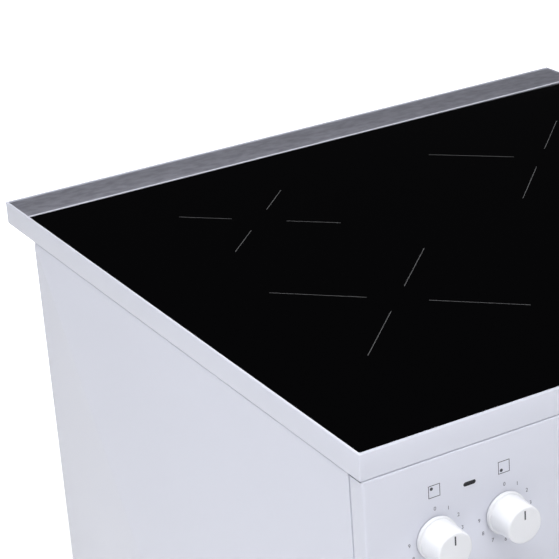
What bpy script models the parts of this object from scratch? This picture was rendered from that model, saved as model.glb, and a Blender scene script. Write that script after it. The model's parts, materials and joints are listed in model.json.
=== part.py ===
"""A freestanding induction cooker, 600 x 600 x 850 mm, as separate sub-parts.

Frame: +X to the cooker's right as seen from the front, +Y to the rear, +Z up, in metres.
The origin is on the floor, in the middle of the cooker's bounding box, door handle included.
"""

import math

import bmesh
import bpy
from mathutils import Matrix, Vector

# ---- Driving dimensions ----------------------------------------------------------------

WIDTH = 0.600  # hob frame, and so the cooker
DEPTH = 0.600
HEIGHT = 0.850  # top of the hob frame's rim
HANDLE_REACH = 0.045  # how far the door handle stands out of the front
REAR_OVERHANG = 0.057  # the hob frame passes the body at the rear
SHEET = 0.0012  # pressed steel
GAP = 0.0003  # between pieces that touch
CUT = 0.010  # how far a cutter runs past the wall it cuts

HALF = WIDTH / 2
FRONT = HANDLE_REACH - (DEPTH + HANDLE_REACH) / 2  # front faces of frame, panel, door, drawer
REAR = FRONT + DEPTH
BODY_REAR = REAR - REAR_OVERHANG
HOB_MIDDLE = FRONT + DEPTH / 2

# Hob, from the top down
SKIRT = 0.0207  # height of the frame's outer wall
SIDE_RIM = 0.0018
FRONT_RIM = 0.0022
REAR_RIM = 0.0030
RIB_FRONT = FRONT + 0.5505  # the rib between the glass and the rear strip
RIB_REAR = RIB_FRONT + 0.0020
RECESS = 0.0060  # from the rim down to the ledge that carries the glass
LEDGE = 0.014
GLASS = 0.0040
GLASS_TOP = HEIGHT - 0.0003
GLASS_BOTTOM = GLASS_TOP - GLASS
LEDGE_TOP = HEIGHT - RECESS
SKIRT_BOTTOM = HEIGHT - SKIRT

# Cooking zones: centre from the hob's middle, and radius
ZONES = {
    "front_left": (-0.1412, -0.1013, 0.1030),
    "rear_left": (-0.1431, 0.1139, 0.0725),
    "rear_right": (0.1322, 0.0843, 0.1030),
    "front_right": (0.1410, -0.1310, 0.0725),
}
COIL_TOP = GLASS_BOTTOM - 0.0040
COIL_THICKNESS = 0.0040
COIL_BORE = 0.022
CARRIER_TOP = COIL_TOP - COIL_THICKNESS - GAP
CARRIER_THICKNESS = 0.0057
CARRIER_HUB = 0.028
CARRIER_BAR = 0.012
TRAY_TOP = CARRIER_TOP - CARRIER_THICKNESS - GAP
TRAY_THICKNESS = 0.0015
TRAY_HALF = HALF - SIDE_RIM - LEDGE - 0.001  # the frame's opening, with room
TRAY_HOLE = 0.012

# Electronics under the coils
BOARD_THICKNESS = 0.0016
PAN_FLOOR = 0.766
PAN_HALF = 0.277
PAN_FRONT = FRONT + 0.060
PAN_REAR = BODY_REAR - 0.004
PAN_TOP = TRAY_TOP - TRAY_THICKNESS - 0.001
POWER_BOARD_LOW = PAN_FLOOR + 0.010
POWER_BOARD_TOP = POWER_BOARD_LOW + BOARD_THICKNESS
COMPONENTS = (  # left edge, front edge, width, depth, height
    (-0.230, -0.105, 0.030, 0.030, 0.022),
    (-0.190, -0.105, 0.030, 0.030, 0.022),
    (-0.230, -0.060, 0.045, 0.018, 0.026),
    (-0.230, 0.060, 0.040, 0.040, 0.024),
    (-0.040, -0.100, 0.030, 0.060, 0.018),
)
SINK_LEFT, SINK_RIGHT = -0.170, -0.060
SINK_FRONT, SINK_REAR = -0.020, 0.120
SINK_HEIGHT = 0.030
SINK_FOOT = 0.005
FIN_PITCH = 0.0096
FIN_SLOT = 0.006
BLOWER_ACROSS, BLOWER_BACK = 0.130, 0.080
BLOWER_HALF = 0.062
BLOWER_HEIGHT = 0.034
BLOWER_WALL = 0.002
CHAMBER_RADIUS = 0.056
ROTOR_RADIUS = 0.050

# Body
BODY_TOP = SKIRT_BOTTOM - 0.0005
BODY_HALF = HALF - 0.0006
BODY_BOTTOM = 0.035
BASE_RIM = BODY_BOTTOM + 0.020  # the drawer slides on this
FLANGE = 0.020  # the side panels' turned-in edges
SIDE_FRONT = FRONT + 0.0165
CORNER_NOTCH = 0.0024  # open corner of the side panels' top rear
INSIDE_HALF = BODY_HALF - FLANGE - 0.0005

# Front, from the top down
PANEL_FRONT = FRONT - 0.0008  # the control panel stands out a little
PANEL_REAR = FRONT + 0.0160
PANEL_TOP = SKIRT_BOTTOM - 0.0012
PANEL_BOTTOM = HEIGHT - 0.137
FRONT_DEPTH = 0.0150  # door skin and drawer front
DOOR_TOP = PANEL_BOTTOM - 0.005
DOOR_BOTTOM = 0.211
DRAWER_TOP = DOOR_BOTTOM - 0.006
DRAWER_BOTTOM = 0.045
FRONT_HALF = HALF - 0.0010

# Controls: across from the middle, and height
KNOB_HEIGHT = HEIGHT - 0.0809
KNOB_RADIUS = 0.016
KNOB_LENGTH = 0.024
SHAFT_RADIUS = 0.003
SHAFT_LENGTH = 0.015
KNOBS = {
    "rear_left_knob": -0.2432,
    "front_left_knob": -0.1857,
    "oven_function_knob": -0.1040,
    "oven_temperature_knob": 0.1040,
    "front_right_knob": 0.1857,
    "rear_right_knob": 0.2432,
}
PILOTS = {"pilot_window_left": -0.2143, "pilot_window_right": 0.2143}
PILOT_HEIGHT = HEIGHT - 0.0488
PILOT_LENGTH = 0.0104
PILOT_WIDTH = 0.0034
DISPLAY_HALF = 0.034
DISPLAY_LOW = HEIGHT - 0.0800
DISPLAY_HIGH = HEIGHT - 0.0480
BUTTONS = {"timer_minus_button": -0.020, "timer_plus_button": 0.020}
BUTTON_HEIGHT = HEIGHT - 0.1020
BUTTON_RADIUS = 0.0050
BOARD_FRONT = FRONT + 0.0185

# Oven
CAVITY_HALF = 0.225
CAVITY_BOTTOM = 0.270
CAVITY_TOP = 0.640
FACE_FRONT = FRONT + 0.0475  # the steel face around the oven's mouth
CAVITY_FRONT = FACE_FRONT + 0.0020
CAVITY_REAR = CAVITY_FRONT + 0.420
WOOL = 0.022
FAN_HEIGHT = (CAVITY_BOTTOM + CAVITY_TOP) / 2
FAN_MIDDLE = CAVITY_REAR - 0.016
BAFFLE_FRONT = CAVITY_REAR - 0.032
SHELF_HEIGHT = CAVITY_BOTTOM + 0.115
WIRE = 0.0025
RACK_LEVELS = 4
RACK_PITCH = 0.065
SHELF_WIRES = 15
SHELF_HALF = CAVITY_HALF - 0.014
BAFFLE_HALF = 0.150
BAFFLE_RISE = 0.125
FAN_RADIUS = 0.062
MOTOR_RADIUS = 0.036
MOTOR_LENGTH = 0.024
ELEMENT_RADIUS = 0.0032
ELEMENT_HALF = 0.150
ELEMENT_LOOPS = 3
SEAL_RADIUS = 0.0031
SEAL_MARGIN = 0.012  # from the oven's mouth to the middle of the seal
SEAL_CORNER = 0.020

# Door
DOOR_AXIS_Y = FRONT + 0.0080
DOOR_AXIS_Z = DOOR_BOTTOM + 0.0040
LINER_HALF = 0.255
LINER_REAR = FRONT + 0.0400
WINDOW_HALF = 0.215
WINDOW_LOW = DOOR_BOTTOM + 0.075
WINDOW_HIGH = DOOR_TOP - 0.105
HANDLE_RADIUS = 0.0080
HANDLE_HALF = 0.235
HANDLE_HEIGHT = DOOR_TOP - 0.045
HINGE_ACROSS = 0.236
PIN_RADIUS = 0.0022
PIN_HALF = 0.006
BRACKET_THICKNESS = 0.004

# Drawer
DRAWER_HALF = 0.250
DRAWER_FLOOR = BASE_RIM + GAP
DRAWER_RIM = 0.170
DRAWER_DEPTH = 0.440

FOOT_ACROSS = 0.2660
FOOT_FRONT = FRONT + 0.060
FOOT_REAR = BODY_REAR - 0.040
FOOT_RADIUS = 0.019
FOOT_STUD = 0.0040
FOOT_STUD_TOP = 0.0560

# Rear
LOUVRE_ACROSS = 0.150
LOUVRE_HALF = 0.060
LOUVRE_LOW = 0.720
LOUVRE_HEIGHT = 0.005
LOUVRE_PITCH = 0.014
LOUVRES = 6
TERMINAL_LEFT, TERMINAL_RIGHT = -0.200, -0.110
TERMINAL_LOW, TERMINAL_HIGH = 0.110, 0.190
TERMINAL_DEPTH = 0.030
CABLE_ENTRY = 0.008


# ---- Tools -----------------------------------------------------------------------------


def clear_scene():
    for obj in list(bpy.data.objects):
        bpy.data.objects.remove(obj)


def new_collection(name):
    collection = bpy.data.collections.new(name)
    bpy.context.scene.collection.children.link(collection)
    return collection


def finish(name, colour, roughness, metallic=0.0):
    """A plain material."""
    made = bpy.data.materials.new(name)
    made.use_nodes = True
    shader = made.node_tree.nodes["Principled BSDF"]
    shader.inputs["Base Color"].default_value = (*colour, 1.0)
    shader.inputs["Roughness"].default_value = roughness
    shader.inputs["Metallic"].default_value = metallic
    return made


def add(name, shape, origin, material):
    """Makes an object from a bmesh. Without a material it is a helper that only cuts or joins."""
    mesh = bpy.data.meshes.new(name)
    shape.to_mesh(mesh)
    shape.free()
    obj = bpy.data.objects.new(name, mesh)
    obj.location = origin
    if material is None:
        HELPERS.objects.link(obj)
        obj.hide_render = True
        obj.display_type = "WIRE"
    else:
        mesh.materials.append(material)
        COOKER.objects.link(obj)
    return obj


def block(name, low, high, material=None, bevel=0.0, origin=None):
    """A box between two corners, with its origin in its middle unless another is given."""
    low, high = Vector(low), Vector(high)
    middle = (low + high) / 2
    origin = middle if origin is None else Vector(origin)
    shape = bmesh.new()
    place = Matrix.LocRotScale(middle - origin, None, high - low)
    bmesh.ops.create_cube(shape, size=1.0, matrix=place)
    obj = add(name, shape, origin, material)
    if bevel:
        rounding = obj.modifiers.new("rounding", "BEVEL")
        rounding.width = bevel
        rounding.segments = 2
    return obj


def rod(name, start, end, radius, material=None, sides=24, origin=None):
    """A cylinder from start to end, with its origin at its start unless another is given."""
    start, end = Vector(start), Vector(end)
    origin = start if origin is None else Vector(origin)
    along = end - start
    turn = along.to_track_quat("Z", "Y").to_matrix().to_4x4()
    shape = bmesh.new()
    bmesh.ops.create_cone(
        shape,
        cap_ends=True,
        segments=sides,
        radius1=radius,
        radius2=radius,
        depth=along.length,
        matrix=Matrix.Translation((start + end) / 2 - origin) @ turn,
    )
    obj = add(name, shape, origin, material)
    smooth(obj)
    return obj


def turned(name, profile, origin, material=None, steps=24, closed=False, along=(0, 0, 1)):
    """A profile of (radius, height) points, outer side downwards, turned about an axis."""
    shape = bmesh.new()
    points = [shape.verts.new((radius, 0.0, height)) for radius, height in profile]
    ends = points[1:] + points[:1] if closed else points[1:]
    for first, second in zip(points, ends):
        shape.edges.new((first, second))
    obj = add(name, shape, origin, material)
    obj.rotation_euler = Vector(along).to_track_quat("Z", "Y").to_euler()
    screw = obj.modifiers.new("turning", "SCREW")
    screw.steps = steps
    screw.render_steps = steps
    screw.use_merge_vertices = True
    screw.merge_threshold = 0.00005
    screw.use_smooth_shade = False
    return obj


def outline(name, points, thickness, origin, rotation, material=None):
    """A flat shape cut to an outline of (x, y) points, half its thickness each way."""
    curve = bpy.data.curves.new(name, "CURVE")
    curve.dimensions = "2D"
    curve.fill_mode = "BOTH"
    curve.extrude = thickness / 2
    spline = curve.splines.new("POLY")
    spline.points.add(len(points) - 1)
    for place, (x, y) in zip(spline.points, points):
        place.co = (x, y, 0.0, 1.0)
    spline.use_cyclic_u = True
    obj = bpy.data.objects.new(name, curve)
    obj.location = origin
    obj.rotation_euler = rotation
    HELPERS.objects.link(obj)
    return meshed(obj, material)


def tube(name, points, radius, material=None, resolution=2, closed=False):
    """A bent rod through its points, with closed ends or as a ring."""
    curve = bpy.data.curves.new(name, "CURVE")
    curve.dimensions = "3D"
    curve.bevel_depth = radius
    curve.bevel_resolution = resolution
    curve.use_fill_caps = True
    spline = curve.splines.new("POLY")
    spline.points.add(len(points) - 1)
    for place, point in zip(spline.points, points):
        place.co = (*point, 1.0)
    spline.use_cyclic_u = closed
    obj = bpy.data.objects.new(name, curve)
    HELPERS.objects.link(obj)
    return meshed(obj, material)


def meshed(curve_object, material):
    """The mesh of a curve object, which takes its name and place. The curve is removed."""
    bpy.context.view_layer.update()
    graph = bpy.context.evaluated_depsgraph_get()
    mesh = bpy.data.meshes.new_from_object(curve_object.evaluated_get(graph))
    place = curve_object.matrix_world.copy()
    name = curve_object.name
    bpy.data.objects.remove(curve_object)
    shape = bmesh.new()
    shape.from_mesh(mesh)
    bpy.data.meshes.remove(mesh)
    bmesh.ops.remove_doubles(shape, verts=shape.verts, dist=0.00001)
    obj = add(name, shape, (0, 0, 0), material)
    obj.matrix_world = place
    return obj


def smooth(obj):
    obj.data.shade_smooth()
    obj.data.set_sharp_from_angle(angle=math.radians(35))


def boolean(target, operation, others):
    for other in others:
        step = target.modifiers.new(other.name, "BOOLEAN")
        step.operation = operation
        step.solver = "EXACT"
        step.object = other
    return target


def cut(target, *cutters):
    return boolean(target, "DIFFERENCE", cutters)


def join(target, *others):
    return boolean(target, "UNION", others)


def slots(name, low, high, count, step):
    """A row of equal cutters, each one step from the last."""
    row = block(name, low, high)
    array = row.modifiers.new("row", "ARRAY")
    array.use_relative_offset = False
    array.use_constant_offset = True
    array.constant_offset_displace = step
    array.count = count
    return row


def star(name, centre, radius, width, low, high, material, hub, arms=4, along=(0, 0, 1)):
    """A hub with bars across it, each giving two arms. Low and high are heights along the axis."""
    turn = Vector(along).to_track_quat("Z", "Y").to_matrix().to_4x4()
    ends = [turn @ Vector((0, 0, height)) for height in (low, high)]
    middle = Vector(centre)
    made = rod(name, middle + ends[0], middle + ends[1], hub, material, 24, origin=middle)
    for number in range(arms):
        bar = block(
            f"{name}_bar_{number}",
            (-radius, -width / 2, low + GAP),
            (radius, width / 2, high - GAP),
            origin=(0, 0, 0),
        )
        spin = Matrix.Rotation(math.pi * number / arms, 4, "Z")
        bar.matrix_world = Matrix.Translation(middle) @ turn @ spin
        join(made, bar)
    return made


def lattice(name, rods, radius, material):
    """Crossing rods, each a (start, end) pair, joined into one piece."""
    crossing = new_collection(f"{name}_rods")
    crossing.hide_render = True
    first, *rest = rods
    made = rod(name, *first, radius, material, sides=6)
    for number, (start, end) in enumerate(rest):
        other = rod(f"{name}_rod_{number}", start, end, radius, sides=6)
        HELPERS.objects.unlink(other)
        crossing.objects.link(other)
    step = made.modifiers.new("rods", "BOOLEAN")
    step.operation = "UNION"
    step.solver = "EXACT"
    step.operand_type = "COLLECTION"
    step.collection = crossing
    return made


def stadium(length, width, steps=6):
    """A straight outline with round ends, along X."""
    radius = width / 2
    reach = length / 2 - radius
    points = []
    for side, start in ((1, -math.pi / 2), (-1, math.pi / 2)):
        for step in range(steps + 1):
            angle = start + math.pi * step / steps
            points.append((side * reach + radius * math.cos(angle), radius * math.sin(angle)))
    return points


# ---- Hob -------------------------------------------------------------------------------


def build_hob():
    frame = block(
        "hob_frame",
        (-HALF, FRONT, SKIRT_BOTTOM),
        (HALF, REAR, HEIGHT),
        WHITE,
        bevel=0.0010,
    )
    inside = HALF - SIDE_RIM
    cut(
        frame,
        block(
            "glass_recess",
            (-inside, FRONT + FRONT_RIM, LEDGE_TOP),
            (inside, RIB_FRONT, HEIGHT + CUT),
        ),
        block(
            "strip_recess",
            (-inside, RIB_REAR, LEDGE_TOP),
            (inside, REAR - REAR_RIM, HEIGHT + CUT),
        ),
        block(
            "skirt_hollow",
            (-HALF + SHEET, FRONT + SHEET, SKIRT_BOTTOM - CUT),
            (HALF - SHEET, REAR - SHEET, LEDGE_TOP - SHEET),
        ),
        block(
            "glass_window",
            (-inside + LEDGE, FRONT + FRONT_RIM + LEDGE, SKIRT_BOTTOM - CUT),
            (inside - LEDGE, RIB_FRONT - LEDGE, HEIGHT + CUT),
        ),
    )
    block(
        "rear_strip",
        (-inside + GAP, RIB_REAR + GAP, LEDGE_TOP + GAP),
        (inside - GAP, REAR - REAR_RIM - GAP, HEIGHT - 0.0006),
        STEEL,
        bevel=0.0004,
    )
    seal = block(
        "glass_seal",
        (-inside + 0.001, FRONT + FRONT_RIM + 0.001, LEDGE_TOP + GAP),
        (inside - 0.001, RIB_FRONT - 0.001, GLASS_BOTTOM - GAP),
        RUBBER,
    )
    band = LEDGE - 0.002
    cut(
        seal,
        block(
            "seal_window",
            (-inside + band, FRONT + FRONT_RIM + band, LEDGE_TOP - CUT),
            (inside - band, RIB_FRONT - band, HEIGHT + CUT),
        ),
    )
    block(
        "ceramic_glass",
        (-inside + GAP, FRONT + FRONT_RIM + GAP, GLASS_BOTTOM),
        (inside - GAP, RIB_FRONT - GAP, GLASS_TOP),
        BLACK_GLASS,
        bevel=0.0003,
    )


def build_coils():
    tray = block(
        "coil_tray",
        (-TRAY_HALF, FRONT + 0.022, TRAY_TOP - TRAY_THICKNESS),
        (TRAY_HALF, RIB_FRONT - 0.020, TRAY_TOP),
        ALUMINIUM,
    )
    for zone, (across, back, radius) in ZONES.items():
        centre = Vector((across, HOB_MIDDLE + back, 0.0))
        outer = radius - 0.003
        turned(
            f"coil_winding_{zone}",
            [
                (outer, COIL_TOP),
                (outer, COIL_TOP - COIL_THICKNESS),
                (COIL_BORE, COIL_TOP - COIL_THICKNESS),
                (COIL_BORE, COIL_TOP),
            ],
            centre,
            COPPER,
            steps=32,
            closed=True,
        )
        star(
            f"coil_carrier_{zone}",
            centre,
            outer,
            CARRIER_BAR,
            CARRIER_TOP - CARRIER_THICKNESS,
            CARRIER_TOP,
            DARK_PLASTIC,
            hub=CARRIER_HUB,
        )
        below = centre + Vector((0, 0, TRAY_TOP - CUT))
        above = centre + Vector((0, 0, TRAY_TOP + CUT))
        cut(tray, rod(f"tray_hole_{zone}", below, above, TRAY_HOLE, sides=16))


def build_electronics():
    pan = block(
        "electronics_pan",
        (-PAN_HALF, PAN_FRONT, PAN_FLOOR),
        (PAN_HALF, PAN_REAR, PAN_TOP),
        GALVANISED,
    )
    cut(
        pan,
        block(
            "pan_hollow",
            (-PAN_HALF + SHEET, PAN_FRONT + SHEET, PAN_FLOOR + SHEET),
            (PAN_HALF - SHEET, PAN_REAR - SHEET, PAN_TOP + CUT),
        ),
        slots(
            "pan_vents",
            (-0.060, 0.200, PAN_FLOOR - CUT),
            (0.060, 0.206, PAN_FLOOR + CUT),
            4,
            (0, 0.012, 0),
        ),
    )
    board = block(
        "power_board",
        (-0.250, -0.130, POWER_BOARD_LOW),
        (0.010, 0.130, POWER_BOARD_TOP),
        GREEN_BOARD,
    )
    for number, (left, front, wide, deep, tall) in enumerate(COMPONENTS):
        join(
            board,
            block(
                f"component_{number}",
                (left, front, POWER_BOARD_TOP - 0.0010),
                (left + wide, front + deep, POWER_BOARD_TOP + tall),
            ),
        )
    build_heat_sink()
    build_blower()


def build_heat_sink():
    low = POWER_BOARD_TOP + GAP
    high = low + SINK_HEIGHT
    sink = block("heat_sink", (SINK_LEFT, SINK_FRONT, low), (SINK_RIGHT, SINK_REAR, high), ALUMINIUM)
    left = SINK_LEFT + FIN_SLOT
    cut(
        sink,
        slots(
            "sink_fins",
            (left, SINK_FRONT - CUT, low + SINK_FOOT),
            (left + FIN_SLOT, SINK_REAR + CUT, high + CUT),
            11,
            (FIN_PITCH, 0, 0),
        ),
    )


def build_blower():
    """A flat blower housing, open on top and to the left, around its rotor."""
    seat = Vector((BLOWER_ACROSS, BLOWER_BACK, PAN_FLOOR + SHEET + GAP))
    up = Vector((0, 0, 1))
    side = Vector((BLOWER_HALF, BLOWER_HALF, 0))
    housing = block("blower_housing", seat - side, seat + side + up * BLOWER_HEIGHT, DARK_PLASTIC)
    floor = seat + up * BLOWER_WALL
    ceiling = seat + up * (BLOWER_HEIGHT - BLOWER_WALL)
    cut(
        housing,
        rod("blower_chamber", floor, ceiling, CHAMBER_RADIUS, sides=32),
        rod("blower_mouth", ceiling - up * BLOWER_WALL, ceiling + up * CUT, 0.040, sides=32),
        block(
            "blower_outlet",
            floor + Vector((-BLOWER_HALF - CUT, -0.020, BLOWER_WALL)),
            ceiling + Vector((-0.030, 0.040, -BLOWER_WALL)),
        ),
    )
    star("blower_rotor", seat, ROTOR_RADIUS, 0.0020, 0.004, 0.029, DARK_PLASTIC, hub=0.014)


# ---- Controls --------------------------------------------------------------------------


def build_control_panel():
    panel = block(
        "control_panel",
        (-FRONT_HALF, PANEL_FRONT, PANEL_BOTTOM),
        (FRONT_HALF, PANEL_REAR, PANEL_TOP),
        WHITE,
        bevel=0.0012,
    )
    cut(
        panel,
        block(
            "panel_hollow",
            (-FRONT_HALF + SHEET, PANEL_FRONT + 0.0016, PANEL_BOTTOM + SHEET),
            (FRONT_HALF - SHEET, PANEL_REAR + CUT, PANEL_TOP - SHEET),
        ),
        block(
            "display_opening",
            (-DISPLAY_HALF, FRONT - CUT, DISPLAY_LOW),
            (DISPLAY_HALF, FRONT + CUT, DISPLAY_HIGH),
        ),
    )
    block(
        "display_window",
        (-DISPLAY_HALF + GAP, PANEL_FRONT + 0.0002, DISPLAY_LOW + GAP),
        (DISPLAY_HALF - GAP, PANEL_FRONT + 0.0032, DISPLAY_HIGH - GAP),
        BLACK_GLASS,
    )
    for name, across in PILOTS.items():
        upright = (math.pi / 2, 0, 0)
        place = (across, PANEL_FRONT + 0.0012, PILOT_HEIGHT)
        opening = stadium(PILOT_LENGTH, PILOT_WIDTH)
        cut(panel, outline(f"{name}_opening", opening, 2 * CUT, place, upright))
        lens = stadium(PILOT_LENGTH - 2 * GAP, PILOT_WIDTH - 2 * GAP)
        outline(name, lens, 0.0020, place, upright, BLACK_GLASS)
    for name, across in BUTTONS.items():
        face = Vector((across, PANEL_FRONT - 0.0015, BUTTON_HEIGHT))
        rod(name, face, face + Vector((0, 0.0130, 0)), BUTTON_RADIUS, WHITE_PLASTIC, sides=20)
        start, end = face - Vector((0, CUT, 0)), face + Vector((0, 2 * CUT, 0))
        cut(panel, rod(f"{name}_hole", start, end, BUTTON_RADIUS + 0.0004, sides=20))
    board = block(
        "control_board",
        (-0.265, BOARD_FRONT, PANEL_BOTTOM + 0.015),
        (0.265, BOARD_FRONT + BOARD_THICKNESS, PANEL_TOP - 0.020),
        GREEN_BOARD,
    )
    for name, across in KNOBS.items():
        build_knob(name, across, panel, board)


def build_knob(name, across, panel, board):
    """A knob, its hole in the panel and the encoder that holds its shaft."""
    seat = Vector((across, PANEL_FRONT - 0.0005, KNOB_HEIGHT))
    knob = turned(
        name,
        [
            (0.0, KNOB_LENGTH),
            (0.0115, KNOB_LENGTH),
            (0.0130, KNOB_LENGTH - 0.0012),
            (0.0142, 0.0050),
            (KNOB_RADIUS, 0.0030),
            (KNOB_RADIUS, 0.0),
            (SHAFT_RADIUS, 0.0),
            (SHAFT_RADIUS, -SHAFT_LENGTH),
            (0.0, -SHAFT_LENGTH),
        ],
        seat,
        WHITE_PLASTIC,
        along=(0, -1, 0),
    )
    grip = block(
        f"{name}_grip",
        (across - 0.0011, seat.y - KNOB_LENGTH - 0.0013, KNOB_HEIGHT + 0.0020),
        (across + 0.0011, seat.y - KNOB_LENGTH + 0.0025, KNOB_HEIGHT + 0.0110),
    )
    join(knob, grip)
    through = Vector((0, 2 * CUT, 0))
    cut(panel, rod(f"{name}_hole", seat - through, seat + through, SHAFT_RADIUS + 0.0015, sides=16))
    encoder = block(
        f"{name}_encoder",
        (across - 0.007, BOARD_FRONT - 0.0060, KNOB_HEIGHT - 0.007),
        (across + 0.007, BOARD_FRONT + 0.0005, KNOB_HEIGHT + 0.007),
    )
    join(board, encoder)
    bottom = Vector((across, FRONT + 0.0155, KNOB_HEIGHT))
    cut(board, rod(f"{name}_socket", bottom, bottom - Vector((0, CUT, 0)), SHAFT_RADIUS + 0.0004, sides=16))


# ---- Body ------------------------------------------------------------------------------


def build_side_panels():
    for side, name in ((-1, "left_side_panel"), (1, "right_side_panel")):
        outer, inner = side * BODY_HALF, side * (BODY_HALF - FLANGE)
        skin = side * (BODY_HALF - SHEET)
        past = side * (BODY_HALF - FLANGE - CUT)
        low, high = sorted((outer, inner))
        panel = block(
            name,
            (low, SIDE_FRONT, BODY_BOTTOM),
            (high, BODY_REAR, BODY_TOP),
            WHITE,
            bevel=0.0008,
        )
        low, high = sorted((skin, past))
        cut(
            panel,
            block(
                f"{name}_hollow",
                (low, SIDE_FRONT + SHEET, BODY_BOTTOM + SHEET),
                (high, BODY_REAR - SHEET, BODY_TOP - SHEET),
            ),
            block(
                f"{name}_notch",
                (min(side * HALF, past), BODY_REAR - CORNER_NOTCH, BODY_TOP - CORNER_NOTCH),
                (max(side * HALF, past), BODY_REAR + CUT, BODY_TOP + CUT),
            ),
        )


def build_rear_and_base():
    rear = block(
        "rear_panel",
        (-INSIDE_HALF, BODY_REAR - SHEET, BODY_BOTTOM + 0.001),
        (INSIDE_HALF, BODY_REAR, BODY_TOP - 0.001),
        GALVANISED,
    )
    for side in (-1, 1):
        middle = side * LOUVRE_ACROSS
        cut(
            rear,
            slots(
                f"louvres_{'left' if side < 0 else 'right'}",
                (middle - LOUVRE_HALF, BODY_REAR - CUT, LOUVRE_LOW),
                (middle + LOUVRE_HALF, BODY_REAR + CUT, LOUVRE_LOW + LOUVRE_HEIGHT),
                LOUVRES,
                (0, 0, LOUVRE_PITCH),
            ),
        )
    base = block(
        "base_pan",
        (-INSIDE_HALF, FRONT + 0.030, BODY_BOTTOM),
        (INSIDE_HALF, BODY_REAR - SHEET - GAP, BASE_RIM),
        GALVANISED,
    )
    cut(
        base,
        block(
            "base_hollow",
            (-INSIDE_HALF + SHEET, FRONT + 0.030 + SHEET, BODY_BOTTOM + SHEET),
            (INSIDE_HALF - SHEET, BODY_REAR - 2 * SHEET - GAP, BASE_RIM + CUT),
        ),
    )
    for row, y in (("front", FOOT_FRONT), ("rear", FOOT_REAR)):
        for side, x in (("left", -FOOT_ACROSS), ("right", FOOT_ACROSS)):
            name = f"{row}_{side}_foot"
            turned(
                name,
                [
                    (0.0, FOOT_STUD_TOP),
                    (FOOT_STUD, FOOT_STUD_TOP),
                    (FOOT_STUD, 0.0120),
                    (0.0120, 0.0100),
                    (FOOT_RADIUS, 0.0060),
                    (FOOT_RADIUS, 0.0),
                    (0.0, 0.0),
                ],
                (x, y, 0.0),
                DARK_PLASTIC,
                steps=20,
            )
            hole = Vector((x, y, BODY_BOTTOM - CUT))
            cut(base, rod(f"{name}_hole", hole, hole + Vector((0, 0, 2 * CUT)), FOOT_STUD + 0.0006, sides=16))
    box = block(
        "terminal_block",
        (TERMINAL_LEFT, BODY_REAR + GAP, TERMINAL_LOW),
        (TERMINAL_RIGHT, BODY_REAR + TERMINAL_DEPTH, TERMINAL_HIGH),
        DARK_PLASTIC,
        bevel=0.003,
    )
    across = (TERMINAL_LEFT + TERMINAL_RIGHT) / 2
    entry = Vector((across, BODY_REAR + 0.0155, TERMINAL_LOW))
    up = Vector((0, 0, 1))
    cut(box, rod("cable_entry", entry - up * CUT, entry + up * 0.020, CABLE_ENTRY))


# ---- Oven ------------------------------------------------------------------------------


def build_oven():
    face = block(
        "oven_face",
        (-INSIDE_HALF, FACE_FRONT, DOOR_BOTTOM - 0.004),
        (INSIDE_HALF, FACE_FRONT + 0.0016, PANEL_BOTTOM),
        GREY_ENAMEL,
    )
    mouth_low = (-CAVITY_HALF, FACE_FRONT - CUT, CAVITY_BOTTOM)
    mouth_high = (CAVITY_HALF, CAVITY_REAR, CAVITY_TOP)
    cavity = block("cavity_space", mouth_low, mouth_high)
    cut(face, cavity)
    wall = Vector((SHEET, SHEET, SHEET))
    liner = block(
        "oven_liner",
        Vector((-CAVITY_HALF, CAVITY_FRONT + SHEET, CAVITY_BOTTOM)) - wall,
        Vector(mouth_high) + wall,
        GREY_ENAMEL,
    )
    cut(liner, cavity)
    wool_space = Vector((SHEET + 0.0005,) * 3)
    wool = wool_space + Vector((WOOL,) * 3)
    blanket = block(
        "insulation_blanket",
        (-CAVITY_HALF - wool.x, CAVITY_FRONT + 0.006, CAVITY_BOTTOM - wool.z),
        (CAVITY_HALF + wool.x, CAVITY_REAR + wool.y, CAVITY_TOP + wool.z),
        WOOL_FELT,
    )
    cut(
        blanket,
        block(
            "liner_space",
            (-CAVITY_HALF - wool_space.x, CAVITY_FRONT - CUT, CAVITY_BOTTOM - wool_space.z),
            (CAVITY_HALF + wool_space.x, CAVITY_REAR + wool_space.y, CAVITY_TOP + wool_space.z),
        ),
    )
    build_fan(liner, blanket)
    build_elements()
    build_racks()
    build_door_seal()


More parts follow.
